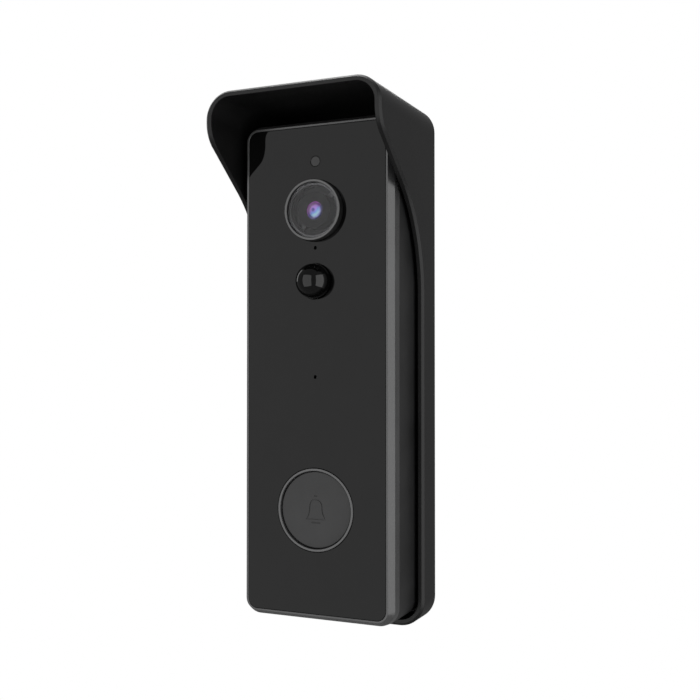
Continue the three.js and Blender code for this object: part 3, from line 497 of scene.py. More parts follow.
def cell_wrap():
    """Heat-shrunk sleeve of a battery cell: a creased blue film."""
    g = Graph("cell_wrap")
    creases = g.noise(2.5, detail=3.0, vector=g.mapped(scale=(1, 1, 6)))
    g.tint(creases, (0.02, 0.09, 0.3), (0.03, 0.14, 0.42))
    g.roughness(g.remap(creases, 0.22, 0.4))
    g.normal(g.bump(creases, 0.05))
    return g.material


def clear_plastic(name, colour):
    """A milky light guide."""
    g = Graph(name)
    swirl = g.noise(0.8, detail=2.0)
    g.tint(swirl, colour, scaled(colour, 0.85))
    g.roughness(g.remap(swirl, 0.05, 0.16))
    g.normal(g.bump(swirl, 0.004))
    g.set(Subsurface_Weight=0.3)
    return g.material


def film(name, colour, roughness):
    """A thin laminate, such as a ribbon cable or a speaker's cone, with fine parallel lines."""
    g = Graph(name)
    lines = g.noise(0.25, detail=1.0, vector=g.mapped(scale=(1, 1, 40)))
    g.tint(lines, colour, scaled(colour, 0.6))
    g.roughness(g.remap(lines, roughness - 0.08, roughness + 0.08))
    g.normal(g.bump(lines, 0.01))
    return g.material


def smoked_cover():
    """The camera's cover: a polished, smoke-tinted window that shows the lens behind it."""
    g = Graph("smoked_cover")
    smear = g.noise(6.0, detail=4.0, distortion=0.5)
    mirror = g.tree.nodes.new("ShaderNodeBsdfGlossy")
    g.link(g.remap(smear, 0.01, 0.03), mirror.inputs["Roughness"])
    window = g.tree.nodes.new("ShaderNodeBsdfTransparent")
    g.link(g.blend(g.remap(smear, 0.0, 1.0), (0.92, 0.92, 0.93), (0.9, 0.9, 0.91)), window.inputs["Color"])
    share = g.tree.nodes.new("ShaderNodeFresnel")
    share.inputs["IOR"].default_value = 1.37
    mix = g.tree.nodes.new("ShaderNodeMixShader")
    g.link(share.outputs["Fac"], mix.inputs["Fac"])
    g.link(window.outputs["BSDF"], mix.inputs[1])
    g.link(mirror.outputs["BSDF"], mix.inputs[2])
    g.link(mix.outputs["Shader"], g.tree.nodes["Material Output"].inputs["Surface"])
    g.tree.nodes.remove(g.shader)
    return g.material


def coated_lens(centre_x, centre_z, radius):
    """A lens whose base colour is a painted reflection of its anti-reflection coating: violet at the upper
    left, cyan to blue at the lower right, with a painted bright ring of highlight round a dark middle.
    """
    g = Graph("coated_lens")
    local = g.mapped(location=(centre_x, 0, centre_z), scale=[radius * MM] * 3)
    # The slant and the ramp after it paint the coating's coloured reflection across the lens, violet at the
    # upper left to cyan and blue at the lower right.
    slant = g.tree.nodes.new("ShaderNodeVectorMath")
    slant.operation = "DOT_PRODUCT"
    slant.inputs[1].default_value = (0.55, 0, -0.8)
    g.link(local, slant.inputs[0])
    ripple = g.math("ADD", slant.outputs["Value"], g.remap(g.noise(0.9, detail=1.0), -0.12, 0.12))
    painted_reflection_colours = g.ramp(g.remap(ripple, 0.0, 1.0, -1.0, 1.0), [
        (0.0, (0.7, 0.12, 0.95)), (0.28, (0.85, 0.42, 1.0)), (0.48, (0.55, 0.28, 1.0)),
        (0.62, (0.22, 0.4, 1.0)), (0.8, (0.5, 0.92, 1.0)), (1.0, (0.06, 0.16, 0.6))])
    across = g.tree.nodes.new("ShaderNodeVectorMath")
    across.operation = "MULTIPLY"
    across.inputs[1].default_value = (1, 0, 1)
    g.link(local, across.inputs[0])
    reach = g.tree.nodes.new("ShaderNodeVectorMath")
    reach.operation = "LENGTH"
    g.link(across.outputs["Vector"], reach.inputs[0])
    # Painted highlight: a bright ring of reflected light round a dark middle, darker again at the lens's
    # rim.
    rings = g.ramp(reach.outputs["Value"], [
        (0.0, (0.1, 0.12, 0.3)), (0.14, (0.3, 0.3, 0.5)), (0.26, (1, 1, 1)), (0.6, (1, 1, 1)),
        (0.86, (1, 0.5, 0.95)), (1.0, (0.2, 0.08, 0.22))])
    product = g.tree.nodes.new("ShaderNodeMix")
    product.data_type = "RGBA"
    product.blend_type = "MULTIPLY"
    product.inputs["Factor"].default_value = 1.0
    g.link(painted_reflection_colours, product.inputs[6])
    g.link(rings, product.inputs[7])
    g.colour(product.outputs[2])
    g.roughness(g.remap(g.noise(1.2), 0.28, 0.4))
    g.set(Metallic=0.65, Coat_Weight=1.0, Coat_Roughness=0.03)
    return g.material


def speckled(name, base, speck, size, roughness):
    """The face of a die or a sensor: fine cells with a speck in each."""
    g = Graph(name)
    specks = g.cells(size)
    g.colour(g.ramp(specks, [(0.0, speck), (0.35, base), (0.6, base)]))
    g.roughness(g.remap(specks, roughness, roughness + 0.15, 0.0, 0.6))
    g.normal(g.bump(specks, 0.01))
    return g.material


LENS_RIM = 2.5
LENS_FACE = -0.15

finishes = {
    "hood_plastic": moulded("hood_plastic", grey(0.0055), 0.4, grain=0.3, relief=0.015, ior=1.43),
    "rear_plastic": moulded("rear_plastic", grey(0.013), 0.42, grain=0.25, relief=0.012, ior=1.5),
    "front_plastic": moulded("front_plastic", grey(0.036), 0.3, grain=0.2, relief=0.004, ior=1.8),
    "panel_gloss": gloss("panel_gloss", grey(0.0012), 0.012, 1.37),
    "dome_gloss": gloss("dome_gloss", grey(0.001), 0.03, 1.5, ripple=0.0),
    "ring_grey": moulded("ring_grey", grey(0.038), 0.26, grain=0.12, relief=0.002, ior=1.9),
    "bezel_grey": moulded("bezel_grey", grey(0.012), 0.26, grain=0.12, relief=0.002, ior=2.0),
    "button_plastic": moulded("button_plastic", grey(0.03), 0.38, grain=0.16, relief=0.005),
    "window_plastic": gloss("window_plastic", grey(0.016), 0.2, 1.5),
    "smoked_glass": smoked_cover(),
    # The lens's painted reflection is centred a little left of and above the camera's axis.
    "coated_lens": coated_lens(-0.3, CAMERA_Z + 0.2, LENS_RIM + 0.3),
    "sensor_glass": speckled("sensor_glass", (0.01, 0.02, 0.04), (0.1, 0.05, 0.2), 0.25, 0.12),
    "black_rubber": rubber("black_rubber", grey(0.008)),
    "flap_rubber": rubber("flap_rubber", grey(0.012), 0.6),
    "adhesive": rubber("adhesive", grey(0.03), 0.85),
    "ribbon": film("ribbon", (0.28, 0.13, 0.02), 0.4),
    "circuit_board": circuit_board(),
    "black_part": moulded("black_part", grey(0.012), 0.38, grain=0.1, relief=0.006, patch=4.0),
    "barrel_black": moulded("barrel_black", grey(0.003), 0.6, grain=0.1, relief=0.002, patch=4.0, ior=1.35),
    "smoked_led": gloss("smoked_led", grey(0.004), 0.1, 1.5),
    "masked_board": rubber("masked_board", grey(0.005), 0.6),
    "clear_plastic": clear_plastic("clear_plastic", (0.55, 0.56, 0.6)),
    "steel": metal("steel", (0.55, 0.55, 0.56), 0.26, brushed=(1, 12, 1)),
    "brass": metal("brass", (0.62, 0.4, 0.15), 0.28, brushed=(12, 1, 1)),
    "cell_wrap": cell_wrap(),
}

# ---------------------------------------------------------------- rain hood

BEND_END = (TRAY_DEPTH - SWEEP_RADIUS * (1 - math.cos(SWEEP_ANGLE)),
            SWEEP_START + SWEEP_RADIUS * math.sin(SWEEP_ANGLE))
LIP_CENTRE_DEPTH = VISOR_DEPTH + LIP_RADIUS
LIP_START_DEPTH = LIP_CENTRE_DEPTH - LIP_RADIUS * math.cos(SWEEP_ANGLE)
LIP_START_Z = BEND_END[1] + (BEND_END[0] - LIP_START_DEPTH) / math.tan(SWEEP_ANGLE)
LIP_END_Z = LIP_START_Z + LIP_RADIUS * math.sin(SWEEP_ANGLE)


def hood_edge(z):
    """The depth of the hood's front edge at a height, and how far it leans there."""
    if z <= SWEEP_START:
        return TRAY_DEPTH, 0.0
    if z <= BEND_END[1]:
        lean = math.asin((z - SWEEP_START) / SWEEP_RADIUS)
        return TRAY_DEPTH - SWEEP_RADIUS * (1 - math.cos(lean)), lean
    if z <= LIP_START_Z:
        return BEND_END[0] - (z - BEND_END[1]) * math.tan(SWEEP_ANGLE), SWEEP_ANGLE
    if z < LIP_END_Z:
        lean = math.asin((LIP_END_Z - z) / LIP_RADIUS)
        return LIP_CENTRE_DEPTH - LIP_RADIUS * math.cos(lean), lean
    return VISOR_DEPTH, 0.0


def spread(low, high, count):
    return [low + (high - low) * i / count for i in range(1, count + 1)]


HOOD_SIDE_HEIGHTS = (
    spread(HOOD_BOTTOM + HOOD_CORNER + 2, SWEEP_START, 8)
    + spread(SWEEP_START, BEND_END[1], 20)
    + spread(BEND_END[1], LIP_START_Z, 8)
    + spread(LIP_START_Z, LIP_END_Z, 8)
    + spread(LIP_END_Z, HOOD_TOP - HOOD_CORNER - 0.4, 2)
)
HOOD_CHAMFER = 0.75
HOOD_CHAMFER_EDGE = 0.2
HOOD_INNER_EDGE = 0.3
HOOD_BACK_EDGE = 0.6
HOOD_INSIDE_FILLET = 0.8


def hood_loop(inset, depth_of):
    """A loop round the hood at an inset from its outside. depth_of gives the depth at each height."""
    outline = rect_outline(
        HOOD_HALF - inset, HOOD_BOTTOM + inset, HOOD_TOP - inset * HOOD_ROOF / HOOD_WALL,
        HOOD_CORNER - inset, HOOD_SIDE_HEIGHTS)
    return [(x, at(depth_of(z)), z) for x, z in outline]


def front_edge_loop(inset, setback):
    def depth_of(z):
        depth, lean = hood_edge(z)
        return depth + setback / math.cos(lean)
    return hood_loop(inset, depth_of)


def level_loop(inset, depth):
    return hood_loop(inset, lambda z: depth)


def hood_loops():
    """From the wall over the outside and the front edge to the inside of the back wall."""
    loops = [level_loop(HOOD_BACK_EDGE * (1 - math.sin(a)), WALL_DEPTH - HOOD_BACK_EDGE * (1 - math.cos(a)))
             for a in quarter(4)]
    tail = 3  # only gives the rounding its directions: both ends of the path are left out
    front = rounded([(0, tail), (0, HOOD_CHAMFER), (HOOD_CHAMFER, 0), (HOOD_WALL, 0), (HOOD_WALL, tail)],
                    [HOOD_CHAMFER_EDGE, HOOD_CHAMFER_EDGE, HOOD_INNER_EDGE])
    loops += [front_edge_loop(inset, setback) for inset, setback in front[1:-1]]
    loops += [level_loop(HOOD_WALL + HOOD_INSIDE_FILLET * (1 - math.cos(a)),
                         HOOD_BACK - HOOD_INSIDE_FILLET * (1 - math.sin(a))) for a in quarter(4)]
    return loops


HOOK_X = 14
HOOK_TOP = 60
HOOK = {"half": 3, "stem": 2.2, "rise": 3.4, "front": 22.4, "back": 23.8, "root": 0.8, "edge": 0.25}
WALL_SCREW = {"z": 44, "head": 4.2, "shank": 2.2, "land": 0.4}
SECURITY_DEPTH = middle("security_screw", 1) - FACE
SECURITY_SCREW = {"hole": 1.7, "head": 2.9, "sink": 1.19, "clearance": 1.8, "insert": 2.45, "boss": 3.6}


def hook(x):
    """One of the two hooks that the unit hangs on: a stem from the back wall, with a lip that points up."""
    across = (x - HOOK["half"], x + HOOK["half"])
    foot = HOOK_TOP - HOOK["stem"]
    stem = brick("hook", across, (HOOK["front"], HOOD_BACK + HOOK["root"]), (foot, HOOK_TOP), HOOK["edge"])
    lip = brick("hook_lip", across, (HOOK["front"], HOOK["back"]), (foot, HOOK_TOP + HOOK["rise"]),
                HOOK["edge"])
    return unite(stem, lip)


def wall_screw_hole(z):
    """A hole through the back wall with a conical seat for a screw's head."""
    head, shank = WALL_SCREW["head"], WALL_SCREW["shank"]
    profile = [(0, HOOD_BACK - PAST), (head, HOOD_BACK - PAST), (head, HOOD_BACK),
               (shank, WALL_DEPTH - WALL_SCREW["land"]), (shank, WALL_DEPTH + PAST), (0, WALL_DEPTH + PAST)]
    return turned("cutter", profile, z=z, segments=SMALL_ROUND)


def rain_hood():
    shell = skin("rain_hood_shell", hood_loops())
    unite(shell, hook(HOOK_X), hook(-HOOK_X))
    below = HOOD_BOTTOM - PAST
    carve(shell, wall_screw_hole(WALL_SCREW["z"]), wall_screw_hole(-WALL_SCREW["z"]),
          post(SECURITY_SCREW["hole"], below, HOOD_BOTTOM + HOOD_WALL + PAST, 0, SECURITY_DEPTH),
          post(SECURITY_SCREW["head"], below, HOOD_BOTTOM + SECURITY_SCREW["sink"], 0, SECURITY_DEPTH))
    finish(shell, "rain_hood_shell", "rain_hood", finishes["hood_plastic"], ["rain_hood"])


rain_hood()

# ---------------------------------------------------------------- front panel and casings

BEZEL_RADIUS = 9.13
DOME_HOLE_RADIUS = 5.42
WINDOW_RADIUS = 1.5
PINHOLE_RADIUS = 0.5
WINDOW_FIT = 0.1
RING_RADIUS = 12.39
FIT = 0.15
PANEL_EDGE = 0.14
PANEL_HOLE_CHAMFER = 0.06


def face_holes(front, back, flare=0.0):
    """Cutters for every opening in the face, from the light sensor's window down to the bell button."""
    return [
        disc(BEZEL_RADIUS + FIT, front, back, 0, CAMERA_Z, flare, ROUND),
        disc(DOME_HOLE_RADIUS, front, back, 0, DOME_Z, flare, ROUND),
        disc(WINDOW_RADIUS + WINDOW_FIT, front, back, 0, WINDOW_Z, flare),
        disc(PINHOLE_RADIUS, front, back, 0, STATUS_Z, flare),
        disc(PINHOLE_RADIUS, front, back, 0, MICROPHONE_Z, flare),
        disc(RING_RADIUS + FIT, front, back, 0, BUTTON_Z, flare, ROUND),
    ]


def front_panel():
    profile = rounded([(PANEL_HALF - 1, 0), (PANEL_HALF, 0), (PANEL_HALF, PANEL_THICK),
                       (PANEL_HALF - 1, PANEL_THICK)], PANEL_EDGE)
    panel = carve(body_loft("front_panel_gloss", profile),
                  *face_holes(-PAST, PANEL_THICK + PAST, PANEL_HOLE_CHAMFER))
    finish(panel, "front_panel_gloss", "doorbell_unit", finishes["panel_gloss"],
           ["front_panel"])


CASE_SCREW_X = 19.4
CASE_SCREW_Z = (68.5, -62.5)
CASE_SCREWS = [(x, z) for x in (-CASE_SCREW_X, CASE_SCREW_X) for z in CASE_SCREW_Z]
CASE_BOSS = {"radius": 2, "back": 7.9, "pilot": 0.95, "pilot_depths": (4, 9)}
CASE_EDGES = [0.12, 0.6, 0.18]
LIP_HALF = BODY_HALF - 2.02
LIP_DEPTH = 7
LIP_CHAMFER = 0.2
SEAT_CHAMFER = 0.08
CAVITY_HALF = 21.9
OVERLAP = 0.5  # how far parts of one casing run into each other


def front_casing():
    outside = body_loft("front_casing_shell", rounded(
        [(PANEL_HALF - 1.5, 0), (RIM_HALF, 0), BEVEL, (BODY_HALF, PARTING_DEPTH),
         (BODY_HALF - 2, PARTING_DEPTH)], CASE_EDGES, 5))
    lip = body_loft("lip", [(LIP_HALF, PARTING_DEPTH - OVERLAP), (LIP_HALF, LIP_DEPTH - LIP_CHAMFER),
                            (LIP_HALF - LIP_CHAMFER, LIP_DEPTH)])
    seat_half = PANEL_HALF + PANEL_GAP
    seat = body_loft("seat", [(seat_half + (PAST + SEAT_CHAMFER), -PAST), (seat_half, SEAT_CHAMFER),
                              (seat_half, FRONT_WALL[0])])
    cavity = body_loft("cavity", [(CAVITY_HALF, FRONT_WALL[1]), (CAVITY_HALF, LIP_DEPTH + PAST)])
    casing = carve(unite(outside, lip), seat, cavity, *face_holes(0.5, FRONT_WALL[1] + 0.5))
    for x, z in CASE_SCREWS:
        unite(casing, disc(CASE_BOSS["radius"], FRONT_WALL[1] - OVERLAP, CASE_BOSS["back"], x, z))
        carve(casing, disc(CASE_BOSS["pilot"], *CASE_BOSS["pilot_depths"], x, z))
    finish(casing, "front_casing_shell", "doorbell_unit", finishes["front_plastic"],
           ["front_casing"])


CASING_WALL = 1.8
CASING_EDGES = [0.2, 0.6]
BODY_BOTTOM = -BODY_TOP
BACK_WALL = 24
FLAP_HALF = span("usb_flap")[0][1]
FLAP_DEPTHS = depths("usb_flap")
FLAP_THICK = 1
FLAP_GAP = 0.3
NOTCH = {"half": 3, "deep": 1.4, "corner": 0.5}
USB_X = middle("usb_port", 0)
USB_DEPTH = middle("usb_port", 1) - FACE
USB_HOLE = {"half": 4.9, "half_depth": 2.05, "corner": 1.2}
RESET_X = middle("reset_button", 0)
RESET_HOLE = 1.5
SPEAKER_X = middle("speaker_frame", 0)
SPEAKER_SLOTS = (8.6, 10.6, 12.6, 14.6)
SLOT = {"half": 4, "half_depth": 0.6, "corner": 0.5}
DOOR_HALF = span("battery_door")[0][1]
DOOR_BOTTOM, DOOR_TOP = span("battery_door")[2]
DOOR_DEPTH = depths("battery_door")[0]
DOOR_CORNER = 3.2
DOOR_GAP = 0.2
DOOR_SCREWS = [middle(f"door_screw_{place}", 2) for place in ("upper", "lower")]
BAY = {"half": 19.4, "bottom": -53, "top": 17, "floor": (5.1, 5.9), "wall": 1, "corner": 0.4}
BOSS_TOP = -67
INSERT_TOP = -66
TOWER = {"radius": 2.6, "front": 8, "hole": 1.05, "hole_front": 7, "head": 2.05, "head_front": 12}
PILLAR = {"radius": 2.4, "front": 16, "hole": 1.05, "hole_front": 17.2}
HOOK_SLOT = {"gap": 0.3, "drop": 4.5, "play": 0.05}


def bottom_openings():
    """Cutters for the flap's recess and its thumb notch, the port, two round holes and the speaker."""
    wall_top = BODY_BOTTOM + CASING_WALL + 0.3
    below = BODY_BOTTOM - PAST
    recess_top = BODY_BOTTOM + FLAP_THICK + 0.1
    slots = [brick("slot", (SPEAKER_X - SLOT["half"], SPEAKER_X + SLOT["half"]),
                   (d - SLOT["half_depth"], d + SLOT["half_depth"]), (below, wall_top), SLOT["corner"])
             for d in SPEAKER_SLOTS]
    return [
        brick("recess", (-FLAP_HALF - FLAP_GAP, FLAP_HALF + FLAP_GAP),
              (FLAP_DEPTHS[0] - FLAP_GAP, FLAP_DEPTHS[1] + FLAP_GAP), (below, recess_top), 0.3),
        brick("notch", (-NOTCH["half"], NOTCH["half"]), (FLAP_DEPTHS[1], FLAP_DEPTHS[1] + NOTCH["deep"]),
              (below, recess_top - 0.3), NOTCH["corner"]),
        brick("port", (USB_X - USB_HOLE["half"], USB_X + USB_HOLE["half"]),
              (USB_DEPTH - USB_HOLE["half_depth"], USB_DEPTH + USB_HOLE["half_depth"]), (below, wall_top),
              USB_HOLE["corner"]),
        post(RESET_HOLE, below, wall_top, RESET_X, USB_DEPTH),
        post(SECURITY_SCREW["clearance"], below, wall_top, 0, SECURITY_DEPTH),
        *slots,
    ]


def rear_casing():
    casing = body_loft("rear_casing_shell", rounded(
        [(BODY_HALF - 2, REAR_FRONT), (BODY_HALF, REAR_FRONT), (BODY_HALF, BODY_DEPTH),
         (BODY_HALF - 2, BODY_DEPTH)], CASING_EDGES, 5))
    inner = BODY_HALF - CASING_WALL
    carve(casing, body_loft("inside", [(inner, REAR_FRONT - PAST), (inner, BACK_WALL)]))

    # Everything that stands on the back wall runs a little way into it.
    root = BACK_WALL + 0.2
    behind = BODY_DEPTH + PAST
    half, wall = BAY["half"], BAY["wall"]
    bay_outside = brick("bay_outside", (-half - wall, half + wall), (BAY["floor"][0], root),
                        (BAY["bottom"] - wall, BAY["top"] + wall))
    boss = post(SECURITY_SCREW["boss"], BODY_BOTTOM + CASING_WALL - 0.3, BOSS_TOP, 0, SECURITY_DEPTH)
    towers = [disc(TOWER["radius"], TOWER["front"], root, x, z) for x, z in CASE_SCREWS]
    pillars = [disc(PILLAR["radius"], PILLAR["front"], root, 0, z) for z in DOOR_SCREWS]
    unite(casing, bay_outside, boss, *towers, *pillars)

    bay = brick("bay", (-half, half), (BAY["floor"][1], behind), (BAY["bottom"], BAY["top"]), BAY["corner"])
    door_recess = slab("recess", rect_outline(DOOR_HALF + DOOR_GAP, DOOR_BOTTOM - DOOR_GAP,
                                              DOOR_TOP + DOOR_GAP, DOOR_CORNER), DOOR_DEPTH - 0.05, behind)
    hook_slots = [brick("slot", (x - HOOK["half"] - HOOK_SLOT["gap"], x + HOOK["half"] + HOOK_SLOT["gap"]),
                        (BACK_WALL - OVERLAP, behind),
                        (HOOK_TOP - HOOK["stem"] - HOOK_SLOT["drop"], HOOK_TOP + HOOK_SLOT["play"]))
                  for x in (-HOOK_X, HOOK_X)]
    carve(casing, bay, door_recess, *hook_slots, *bottom_openings())
    carve(casing, post(SECURITY_SCREW["insert"], BODY_BOTTOM + CASING_WALL, INSERT_TOP, 0, SECURITY_DEPTH))
    for z in DOOR_SCREWS:
        carve(casing, disc(PILLAR["hole"], PILLAR["hole_front"], BODY_DEPTH, 0, z))
    for x, z in CASE_SCREWS:
        carve(casing, disc(TOWER["hole"], TOWER["hole_front"], behind, x, z),
              disc(TOWER["head"], TOWER["head_front"], behind, x, z))
    finish(casing, "rear_casing_shell", "doorbell_unit", finishes["rear_plastic"],
           ["rear_casing"])


front_panel()
front_casing()
rear_casing()

# ---------------------------------------------------------------- camera

BEZEL_FRONT, BEZEL_BACK = depths("camera_bezel_ring")
BEZEL_BAND = 0.85
BEZEL_BORE = 7.6
BEZEL_FLANGE = 10.3
GLASS_FRONT, GLASS_BACK = depths("camera_cover_glass")
GLASS_EDGE = 0.12
BARREL_FRONT, BARREL_BACK = depths("lens_barrel")
BARREL_RADIUS = 5.4
FUNNEL_STEPS = 7
LENS_SEAT = 3.2


def camera_bezel():
    band_inner = BEZEL_RADIUS - BEZEL_BAND
    glass_seat = GLASS_BACK + 0.05
    path = rounded([
        (BEZEL_BORE + 0.3, glass_seat), (band_inner, glass_seat), (band_inner, BEZEL_FRONT),
        (BEZEL_RADIUS, BEZEL_FRONT), (BEZEL_RADIUS, SHOULDER), (BEZEL_FLANGE, SHOULDER),
        (BEZEL_FLANGE, BEZEL_BACK), (BEZEL_BORE, BEZEL_BACK), (BEZEL_BORE, glass_seat)],
        [0.05, 0.2, 0.25, 0.1, 0.1, 0.1, 0.1])
    ring = turned("camera_bezel", path, z=CAMERA_Z, closed=True)
    finish(ring, "camera_bezel", "doorbell_unit", finishes["bezel_grey"], ["camera_bezel_ring"])


def camera_cover():
    radius = span("camera_cover_glass")[0][1]
    glass = turned("camera_cover", rounded(
        [(0, GLASS_FRONT), (radius, GLASS_FRONT), (radius, GLASS_BACK), (0, GLASS_BACK)], GLASS_EDGE),
        z=CAMERA_Z)
    finish(glass, "camera_cover", "doorbell_unit", finishes["smoked_glass"],
           ["camera_cover_glass"])


def lens_barrel():
    """The barrel's shallow funnel steps down to the lens in fine rings that catch the light."""
    mouth, throat = (5.05, BARREL_FRONT + 0.1), (2.9, -0.5)
    socket, ledge, opening = (4.4, 3.6), (3.3, -0.2), 2.7
    funnel = [(BARREL_RADIUS, BARREL_FRONT), (BARREL_RADIUS, BARREL_BACK), (socket[0], BARREL_BACK), socket,
              (ledge[0], socket[1]), ledge, (opening, ledge[1]), (opening, throat[1] + 0.05)]
    for i in range(FUNNEL_STEPS + 1):
        radius = throat[0] + (mouth[0] - throat[0]) * i / FUNNEL_STEPS
        depth = throat[1] + (mouth[1] - throat[1]) * i / FUNNEL_STEPS
        funnel += [(radius - 0.1, depth + 0.06), (radius, depth)]
    funnel += [(mouth[0] + 0.12, BARREL_FRONT), (BARREL_RADIUS, BARREL_FRONT)]
    barrel = turned("lens_barrel_fine", rounded(funnel, 0.04, 2)[:-1], z=CAMERA_Z, closed=True)
    finish(barrel, "lens_barrel_fine", "doorbell_unit", finishes["barrel_black"],
           ["lens_barrel"])


def lens_element():
    front, back = depths("lens_front_element")
    bulge = LENS_FACE - front
    cap = [(LENS_RIM * math.sin(a), LENS_FACE - bulge * math.cos(a)) for a in quarter(14)]
    lens = turned("lens_element", cap + [(LENS_SEAT, LENS_FACE), (LENS_SEAT, back), (0, back)], z=CAMERA_Z)
    finish(lens, "lens_element", "doorbell_unit", finishes["coated_lens"],
           ["lens_front_element"])


camera_bezel()
camera_cover()
lens_barrel()
lens_element()

# ---------------------------------------------------------------- motion sensor and small windows

DOME_RADIUS = 5.2
DOME_CENTRE = -1.5
DOME_SHELL = 0.8
DOME_FLANGE = 6.6
DOME_STEPS = 32
DOME_INSIDE_STEPS = 24


def motion_sensor():
    """A hollow half ball on a short tube, with a flange behind the front wall."""
    back = depths("pir_lens")[1]
    inner = DOME_RADIUS - DOME_SHELL
    outside = [(DOME_RADIUS * math.sin(a), DOME_CENTRE - DOME_RADIUS * math.cos(a))
               for a in quarter(DOME_STEPS)]
    inside = [(inner * math.cos(a), DOME_CENTRE - inner * math.sin(a)) for a in quarter(DOME_INSIDE_STEPS)]
    flange = [(DOME_RADIUS, SHOULDER), (DOME_FLANGE, SHOULDER), (DOME_FLANGE, back), (inner, back)]
    dome = turned("pir_dome", outside + flange + inside, z=DOME_Z, segments=FINE_ROUND)
    finish(dome, "pir_dome", "doorbell_unit", finishes["dome_gloss"], ["pir_lens"])


def light_window():
    front, back = depths("light_sensor_window")
    path = rounded([(0, front), (WINDOW_RADIUS, front), (WINDOW_RADIUS, back), (0, back)], 0.08)
    window = turned("light_window", path, z=WINDOW_Z, segments=SMALL_ROUND)
    finish(window, "light_window", "doorbell_unit", finishes["window_plastic"],
           ["light_sensor_window"])


motion_sensor()
light_window()

# ---------------------------------------------------------------- bell button

BUTTON_RADIUS = 11.4
BUTTON_FRONT, BUTTON_BACK = depths("button_cap")
BUTTON_FLANGE = 11.95
BUTTON_SHOULDER = 1.8
RING_FRONT, RING_BACK = depths("button_ring")
RING_FLANGE = 13.3
ENGRAVING = 0.2
BELL_STEPS = 12
BELL_CORE = 0.86  # the size of the uncut middle of the engraved bell
CLAPPER = {"half": 1.45, "low": -4, "high": -3.6}
KNOB = {"half": 0.5, "low": 3.9, "high": 4.35}
STROKE_EDGE = 0.12


def bezier(p, q, r, s):
    """Points on a cubic curve, without its first."""
    points = []
    for i in range(1, BELL_STEPS + 1):
        t = i / BELL_STEPS
        weights = ((1 - t) ** 3, 3 * t * (1 - t) ** 2, 3 * t * t * (1 - t), t ** 3)
        points.append(tuple(sum(w * c[k] for w, c in zip(weights, (p, q, r, s))) for k in (0, 1)))
    return points


def bell_outline(size):
    """A bell from its crown down one side to the mouth and up the other, round the button's centre."""
    right = [(0, 3.1)]
    right += bezier((0, 3.1), (1.3, 3.1), (2.1, 2.2), (2.15, 0.7))
    right += bezier((2.15, 0.7), (2.18, -0.9), (2.57, -2.17), (3.3, -3.1))
    left = [(-x, z) for x, z in reversed(right[1:])]
    return [(x * size, BUTTON_Z + 0.2 + z * size) for x, z in right + left]


def stroke(name, shape, cut_depths):
    """A short level line of the engraving, above or below the bell."""
    return brick(name, (-shape["half"], shape["half"]), cut_depths,
                 (BUTTON_Z + shape["low"], BUTTON_Z + shape["high"]), STROKE_EDGE)


def bell_button():
    front = BUTTON_FRONT
    path = rounded([
        (0, front), (BUTTON_RADIUS, front), (BUTTON_RADIUS, BUTTON_SHOULDER),
        (BUTTON_FLANGE, BUTTON_SHOULDER), (BUTTON_FLANGE, BUTTON_BACK), (0, BUTTON_BACK)],
        [0.3, 0.05, 0.1, 0.1])
    cap = turned("bell_button_cap", path, z=BUTTON_Z, segments=FINE_ROUND)
    cut_depths = (front - 1, front + ENGRAVING)
    bell = slab("bell", bell_outline(1), *cut_depths)
    carve(bell, slab("bell_core", bell_outline(BELL_CORE), front - 2, front + 2))
    carve(cap, bell, stroke("clapper", CLAPPER, cut_depths), stroke("knob", KNOB, cut_depths))
    finish(cap, "bell_button_cap", "bell_button", finishes["button_plastic"],
           ["button_cap"])


def button_ring():
    bore = BUTTON_RADIUS + 0.2
    inner = BUTTON_FLANGE + FIT
    ledge = BUTTON_SHOULDER - 0.05
    path = rounded([
        (bore, ledge), (bore, RING_FRONT), (RING_RADIUS, RING_FRONT), (RING_RADIUS, SHOULDER),
        (RING_FLANGE, SHOULDER), (RING_FLANGE, RING_BACK), (inner, RING_BACK), (inner, ledge),
        (bore, ledge)], [0.2, 0.2, 0.05, 0.1, 0.1, 0.1, 0.05])
    ring = turned("bell_button_ring", path[:-1], z=BUTTON_Z, segments=FINE_ROUND, closed=True)
    finish(ring, "bell_button_ring", "doorbell_unit", finishes["ring_grey"], ["button_ring"])


bell_button()
button_ring()

# ---------------------------------------------------------------- pieces that keep their CAD shape

NODE_FINISHES = {
    "black_rubber": ["casing_gasket", "battery_door_seal", "microphone_gasket", "button_seal"],
    "adhesive": ["panel_adhesive"],
    "rear_plastic": ["battery_door"],
    "flap_rubber": ["usb_flap"],
    "ribbon": ["camera_ribbon_cable", "speaker_cone"],
    "circuit_board": ["image_sensor_board", "main_board", "usb_board"],
    "masked_board": ["ir_led_board"],
    "smoked_led": ["ir_led_1", "ir_led_2", "ir_led_3", "ir_led_4"],
    "black_part": ["lens_holder", "light_sensor", "tact_switch_body", "processor_chip", "speaker_frame",
                   "reset_button"],
    "sensor_glass": ["image_sensor"],
    "clear_plastic": ["status_led"],
    "brass": ["wifi_antenna", "security_nut"],
    "cell_wrap": ["battery_cell_left", "battery_cell_right"],
    "steel": ["security_screw", "door_screw_upper", "door_screw_lower", "case_screw_top_left",
              "case_screw_top_right", "case_screw_bottom_left", "case_screw_bottom_right", "pir_sensor",
              "microphone", "tact_switch_stem", "wifi_module", "positive_contact_left",
              "positive_contact_right", "negative_spring_left", "negative_spring_right", "speaker_magnet",
              "usb_port"],
}


def dress_nodes():
    """Gives the CAD nodes their finishes."""
    for finish_name, nodes in NODE_FINISHES.items():
        for node in nodes:
            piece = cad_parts[node]
            if not piece.material_slots:
                piece.data.materials.append(None)
            for slot in piece.material_slots:
                slot.material = finishes[finish_name]


dress_nodes()

# ---------------------------------------------------------------- floor, light and camera

FLOOR_Z = -0.5
FLOOR_RADIUS = 1.1
PALE = (0.82, 0.82, 0.81)
WORLD_SEEN = 1.0
WORLD_LIGHT = 0.18
